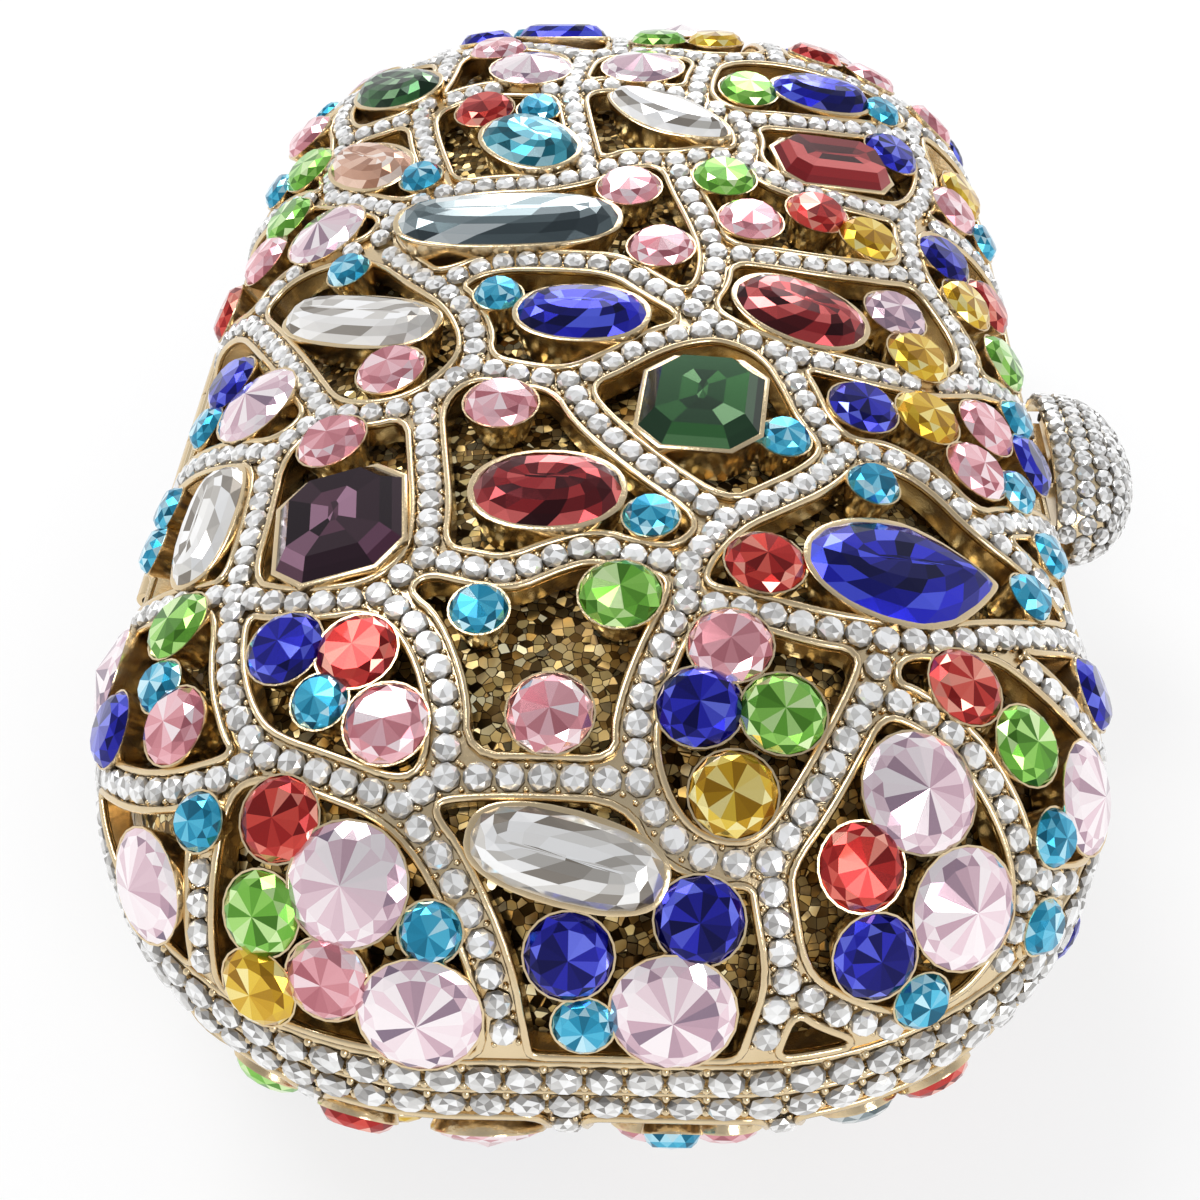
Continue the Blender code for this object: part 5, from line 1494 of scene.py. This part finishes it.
def add_beads(batch, points, normals, radius):
    sides, shape = bead_cut
    for centre, normal in zip(points, normals):
        dot = cut_stone(round_outline, sides, shape) * radius
        dot[-1, 2] = radius
        batch.add(stand(dot, centre, normal), facet_faces(len(shape), sides))


for half in halves:
    crystals = Batch()
    places, normals = dome.place(crystal_places, crystal_lift)
    add_crystals(crystals, places, normals, crystal_radius, crystal_crown, crystal_darkest)
    crystals.make(f"{half}_vein_crystals", half, "ice")
    beads = Batch()
    add_beads(beads, *dome.place(bead_places, crystal_lift), bead_radius)
    beads.make(f"{half}_beads", half, "pale_gold", smooth_degrees=smooth_bead)

# %% Crystals in the rims
rim_pitch = 0.00385
rim_crystal_radius = 0.00186
rim_crystal_crown = 0.00100
rim_crystal_lift = 0.00005
rim_darkest = 0.12
claw_radius = bead_radius * 1.4
hardware = {
    "lid": ("hinge_leaf_lid", "hinge_leaf_back", "clasp_catch"),
    "back": ("hinge_leaf_lid", "hinge_leaf_back", "clasp_base", "clasp_tail"),
}


def clear_of_hardware(half, flat, lift, room):
    """Places and normals of flat points that keep clear of the hinge's and clasp's boxes."""
    places, normals = dome.place(flat, lift)
    points = in_half(half, places)
    clear = np.ones(len(points), bool)
    for name in hardware[half]:
        low, high = (np.array(corner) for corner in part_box(name))
        clear &= ~((points > low - room) & (points < high + room)).all(axis=1)
    return places[clear], normals[clear]


rim_line = even_along(dome.seam_loop(rim_height / 2), rim_pitch, closed=True)
following = np.roll(rim_line, -1, 0)
middles = (rim_line + following) / 2
aside = beside(following - rim_line, rim_crystal_radius)
claw_line = np.vstack((middles + aside, middles - aside))
for half in halves:
    row = Batch()
    places, normals = clear_of_hardware(half, rim_line, rim_crystal_lift, rim_crystal_radius)
    add_crystals(row, places, normals, rim_crystal_radius, rim_crystal_crown, rim_darkest)
    row.make(f"{half}_rim_crystals", half, "ice")
    claws = Batch()
    add_beads(claws, *clear_of_hardware(half, claw_line, 0.0, bead_radius), claw_radius)
    claws.make(f"{half}_rim_claws", half, "pale_gold", smooth_degrees=smooth_bead)

# %% [markdown]
# ## Hinge and clasp
#
# The hinge is a row of five knuckles on one pin, three on the back's leaf and two on the
# lid's. The clasp's thumb piece is half an egg on two lugs, with a flat hook that reaches over
# the catch. The small metal parts are turned or milled, so two helpers are enough: a bevelled
# block and a bevelled tube. They stand exactly where the frame has them.

# %% Block and tube
edge_bevel = 0.00012
tube_sides = 24


def add_block(batch, origin, low, high):
    """A box between two corners, given from an origin, with its edges bevelled."""
    low = np.array(low) + origin
    high = np.array(high) + origin
    middle = (low + high) / 2
    half_size = (high - low) / 2
    block = bmesh.new()
    for signs in itertools.product((-1, 1), repeat=3):
        for axis in range(3):
            inset = np.full(3, edge_bevel)
            inset[axis] = 0
            block.verts.new(middle + np.array(signs) * (half_size - inset))
    bmesh.ops.convex_hull(block, input=block.verts)
    block.verts.index_update()
    faces = [[corner.index for corner in face.verts] for face in block.faces]
    batch.add(np.array([tuple(corner.co) for corner in block.verts]), faces)
    block.free()


def add_tube(batch, centre, low_y, high_y, outer, inner):
    """A tube along Y round a centre, with the edges of its ends bevelled."""
    section = np.array((
        (inner, low_y), (outer - edge_bevel, low_y), (outer, low_y + edge_bevel),
        (outer, high_y - edge_bevel), (outer - edge_bevel, high_y), (inner, high_y),
    ))
    out, length = section.T
    rings = [
        np.column_stack((out * math.cos(angle), length, out * math.sin(angle))) + centre
        for angle in even_turns(tube_sides)
    ]
    batch.add_rings(rings, closed=True)


print("blocks and tubes with edges of", edge_bevel * 1000, "mm")

# %% Hinge
hinge_length = 0.050
hinge_knuckles = 5
hinge_pin_radius = 0.0006
hinge_bore = hinge_pin_radius + fit_gap
hinge_wire_hollow = hinge_pin_radius / 8
hinge_barrel_radius = 0.0016
leaf_thickness = 0.0008
leaf_top = 0.0046
tab_relief = 0.0001
smooth_milled = 30
hinge_place = case_centre - (case_width / 2 + fit_gap + hinge_barrel_radius, 0.0, 0.0)
leaf_outer = hinge_barrel_radius - leaf_thickness
knuckle_pitch = hinge_length / hinge_knuckles
plate_low = hinge_barrel_radius + fit_gap
for name, body, knuckles, side in (
    ("hinge_leaf_back", "back_half", (0, 2, 4), -1), ("hinge_leaf_lid", "lid", (1, 3), 1),
):
    leaf = Batch()
    low_z, high_z = sorted((side * plate_low, side * leaf_top))
    add_block(
        leaf, hinge_place,
        (leaf_outer, -hinge_length / 2, low_z), (hinge_barrel_radius, hinge_length / 2, high_z),
    )
    for knuckle in knuckles:
        low_y = -hinge_length / 2 + knuckle * knuckle_pitch + fit_gap / 2
        high_y = low_y + knuckle_pitch - fit_gap
        low_z, high_z = sorted((side * fit_gap, side * (plate_low + leaf_thickness)))
        add_block(
            leaf, hinge_place, (leaf_outer + tab_relief, low_y + tab_relief, low_z),
            (hinge_barrel_radius - tab_relief, high_y - tab_relief, high_z),
        )
        add_tube(leaf, hinge_place, low_y, high_y, hinge_barrel_radius, hinge_bore)
    leaf.make(f"{name}_plate", None, "pale_gold", [name], smooth_milled, body)
pin = Batch()
add_tube(pin, hinge_place, -hinge_length / 2, hinge_length / 2, hinge_pin_radius, hinge_wire_hollow)
pin.make("hinge_pin_wire", None, "steel", ["hinge_pin"], smooth_milled, "back_half")

# %% [markdown]
# ## Thumb piece
#
# The egg is paved all over with small crystals, in rows across its length. The rows are worked
# out from the egg's own curve, so that they stay evenly spaced right down to its ends. A short
# skirt behind its upper edge carries one more row and hides the hook.

# %% Thumb piece
clasp_barrel_radius = 0.00135
clasp_pin_radius = 0.0005
clasp_pin_drop = 0.0060
clasp_plate_thickness = 0.0008
clasp_x = case_width / 2 + fit_gap + clasp_plate_thickness + clasp_barrel_radius
egg_back = clasp_barrel_radius + fit_gap
egg_size = np.array((0.0095, 0.0145, 0.0085))
pave_radius = 0.00128
pave_crown = 0.00080
pave_pitch = 0.00236
pave_darkest = 0.10
profile_steps = 200
egg_centre = case_centre + (clasp_x + egg_back, 0.0, 0.0)
egg_skin = egg_size - pave_crown


def egg_points(along, around_angle):
    """Points and normals of the egg by the angle along it and the angle round it."""
    across = math.sin(along)
    length = np.full_like(around_angle, math.cos(along))
    local = np.stack((across * np.cos(around_angle), length, across * np.sin(around_angle)), axis=-1)
    return local * egg_skin, unit(local / egg_skin)


def even_shares(length, pitch):
    """Shares of a row's length at which crystals stand, evenly and close to one pitch."""
    count = max(1, round(length / pitch))
    return (np.arange(count) + 0.5) / count


profile = np.linspace(0, math.pi, profile_steps)
profile_arc = run_lengths(
    np.hypot(np.diff(np.cos(profile) * egg_skin[1]), np.diff(np.sin(profile) * egg_skin[2]))
)
thumb_crystals = Batch()
for row_arc in even_shares(profile_arc[-1], pave_pitch) * profile_arc[-1]:
    along = np.interp(row_arc, profile_arc, profile)
    half_round = math.pi * math.sin(along) * (egg_skin[0] + egg_skin[2]) / 2
    for angle in (even_shares(half_round, pave_pitch) - 0.5) * math.pi:
        place, normal = egg_points(along, angle)
        add_round(
            thumb_crystals, crystal_cut, egg_centre + place, normal, pave_radius, pave_crown, pave_darkest
        )
print(round(profile_arc[-1] / pave_pitch), "rows on the egg")

# %% Crystals of the skirt
skirt_depth = 0.0024
skirt_end = 0.13
skirt_steps = 61
skirt_angles = np.linspace(skirt_end, math.pi - skirt_end, skirt_steps)


def skirt_points(angles, back):
    """Points and normals on the skirt behind the upper edge of the egg."""
    local = np.column_stack((np.full_like(angles, -back), np.cos(angles), np.sin(angles)))
    normals = unit(local * (0.0, 1.0, 1.0) / (1.0, egg_skin[1], egg_skin[2]))
    return egg_centre + local * (1.0, egg_skin[1], egg_skin[2]), normals


skirt_line = skirt_points(skirt_angles, skirt_depth / 2)[0]
skirt_arc = run_lengths(np.linalg.norm(np.diff(skirt_line, axis=0), axis=1))
at_arc = even_shares(skirt_arc[-1], pave_pitch) * skirt_arc[-1]
places, normals = skirt_points(np.interp(at_arc, skirt_arc, skirt_angles), skirt_depth / 2)
add_crystals(thumb_crystals, places, normals, pave_radius, pave_crown, pave_darkest)
thumb_crystals.make("clasp_crystals", None, "ice", body="clasp")

# %% Egg, lugs and hook
egg_rows = 28
egg_columns = 26
pole = 0.02
skirt_wall = 0.0007
lug_width = 0.0030
lug_spread = 0.0110
lug_bite = 0.0010
lug_half_share = 0.90
half_lug = clasp_barrel_radius * lug_half_share
clasp_bore = clasp_pin_radius + fit_gap
hook_length = 0.008
hook_height = 0.0008
catch_thickness = 0.0009
catch_top = 0.0044
hook_x = case_width / 2 + fit_gap + clasp_plate_thickness + catch_thickness + fit_gap
hook_z = catch_top + fit_gap
smooth_egg = 40
thumb = Batch()
across = np.linspace(-math.pi / 2, math.pi / 2, egg_columns)
egg = [egg_centre + egg_points(along, across)[0] for along in np.linspace(pole, math.pi - pole, egg_rows)]
back_edge = skirt_points(skirt_angles, skirt_depth)[0]
front_edge, skirt_normals = skirt_points(skirt_angles, -edge_bevel)
inward = skirt_normals * skirt_wall
skirt = np.stack((back_edge, front_edge, front_edge - inward, back_edge - inward), axis=1)
for rings in (egg, skirt):
    thumb.add_rings(rings)
    for end in (rings[0], rings[-1]):
        thumb.add(end, [range(len(end))])
clasp_axis = case_centre + (clasp_x, 0.0, -clasp_pin_drop)
for side in (-1, 1):
    low_y = side * lug_spread / 2 - lug_width / 2
    high_y = low_y + lug_width
    add_block(
        thumb, clasp_axis,
        (clasp_bore, low_y + tab_relief, -half_lug), (egg_back + lug_bite, high_y - tab_relief, half_lug),
    )
    add_tube(thumb, clasp_axis, low_y, high_y, clasp_barrel_radius, clasp_bore)
add_block(
    thumb, case_centre, (hook_x, -hook_length / 2, hook_z),
    (clasp_x + egg_back + lug_bite, hook_length / 2, hook_z + hook_height),
)
thumb.make("clasp_egg", None, "pale_gold", ["clasp_thumb_piece"], smooth_egg, "clasp")

# %% Finishes of the pieces that keep their own shape
kept_nodes = {
    "clasp_base": "pale_gold", "clasp_tail": "pale_gold", "clasp_spring": "steel", "clasp_pin": "steel",
    "clasp_catch": "pale_gold",
}
for name, finish in kept_nodes.items():
    for material_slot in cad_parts[name].material_slots:
        material_slot.material = finishes[finish][0]
print(len(kept_nodes), "pieces of the frame keep their shape")
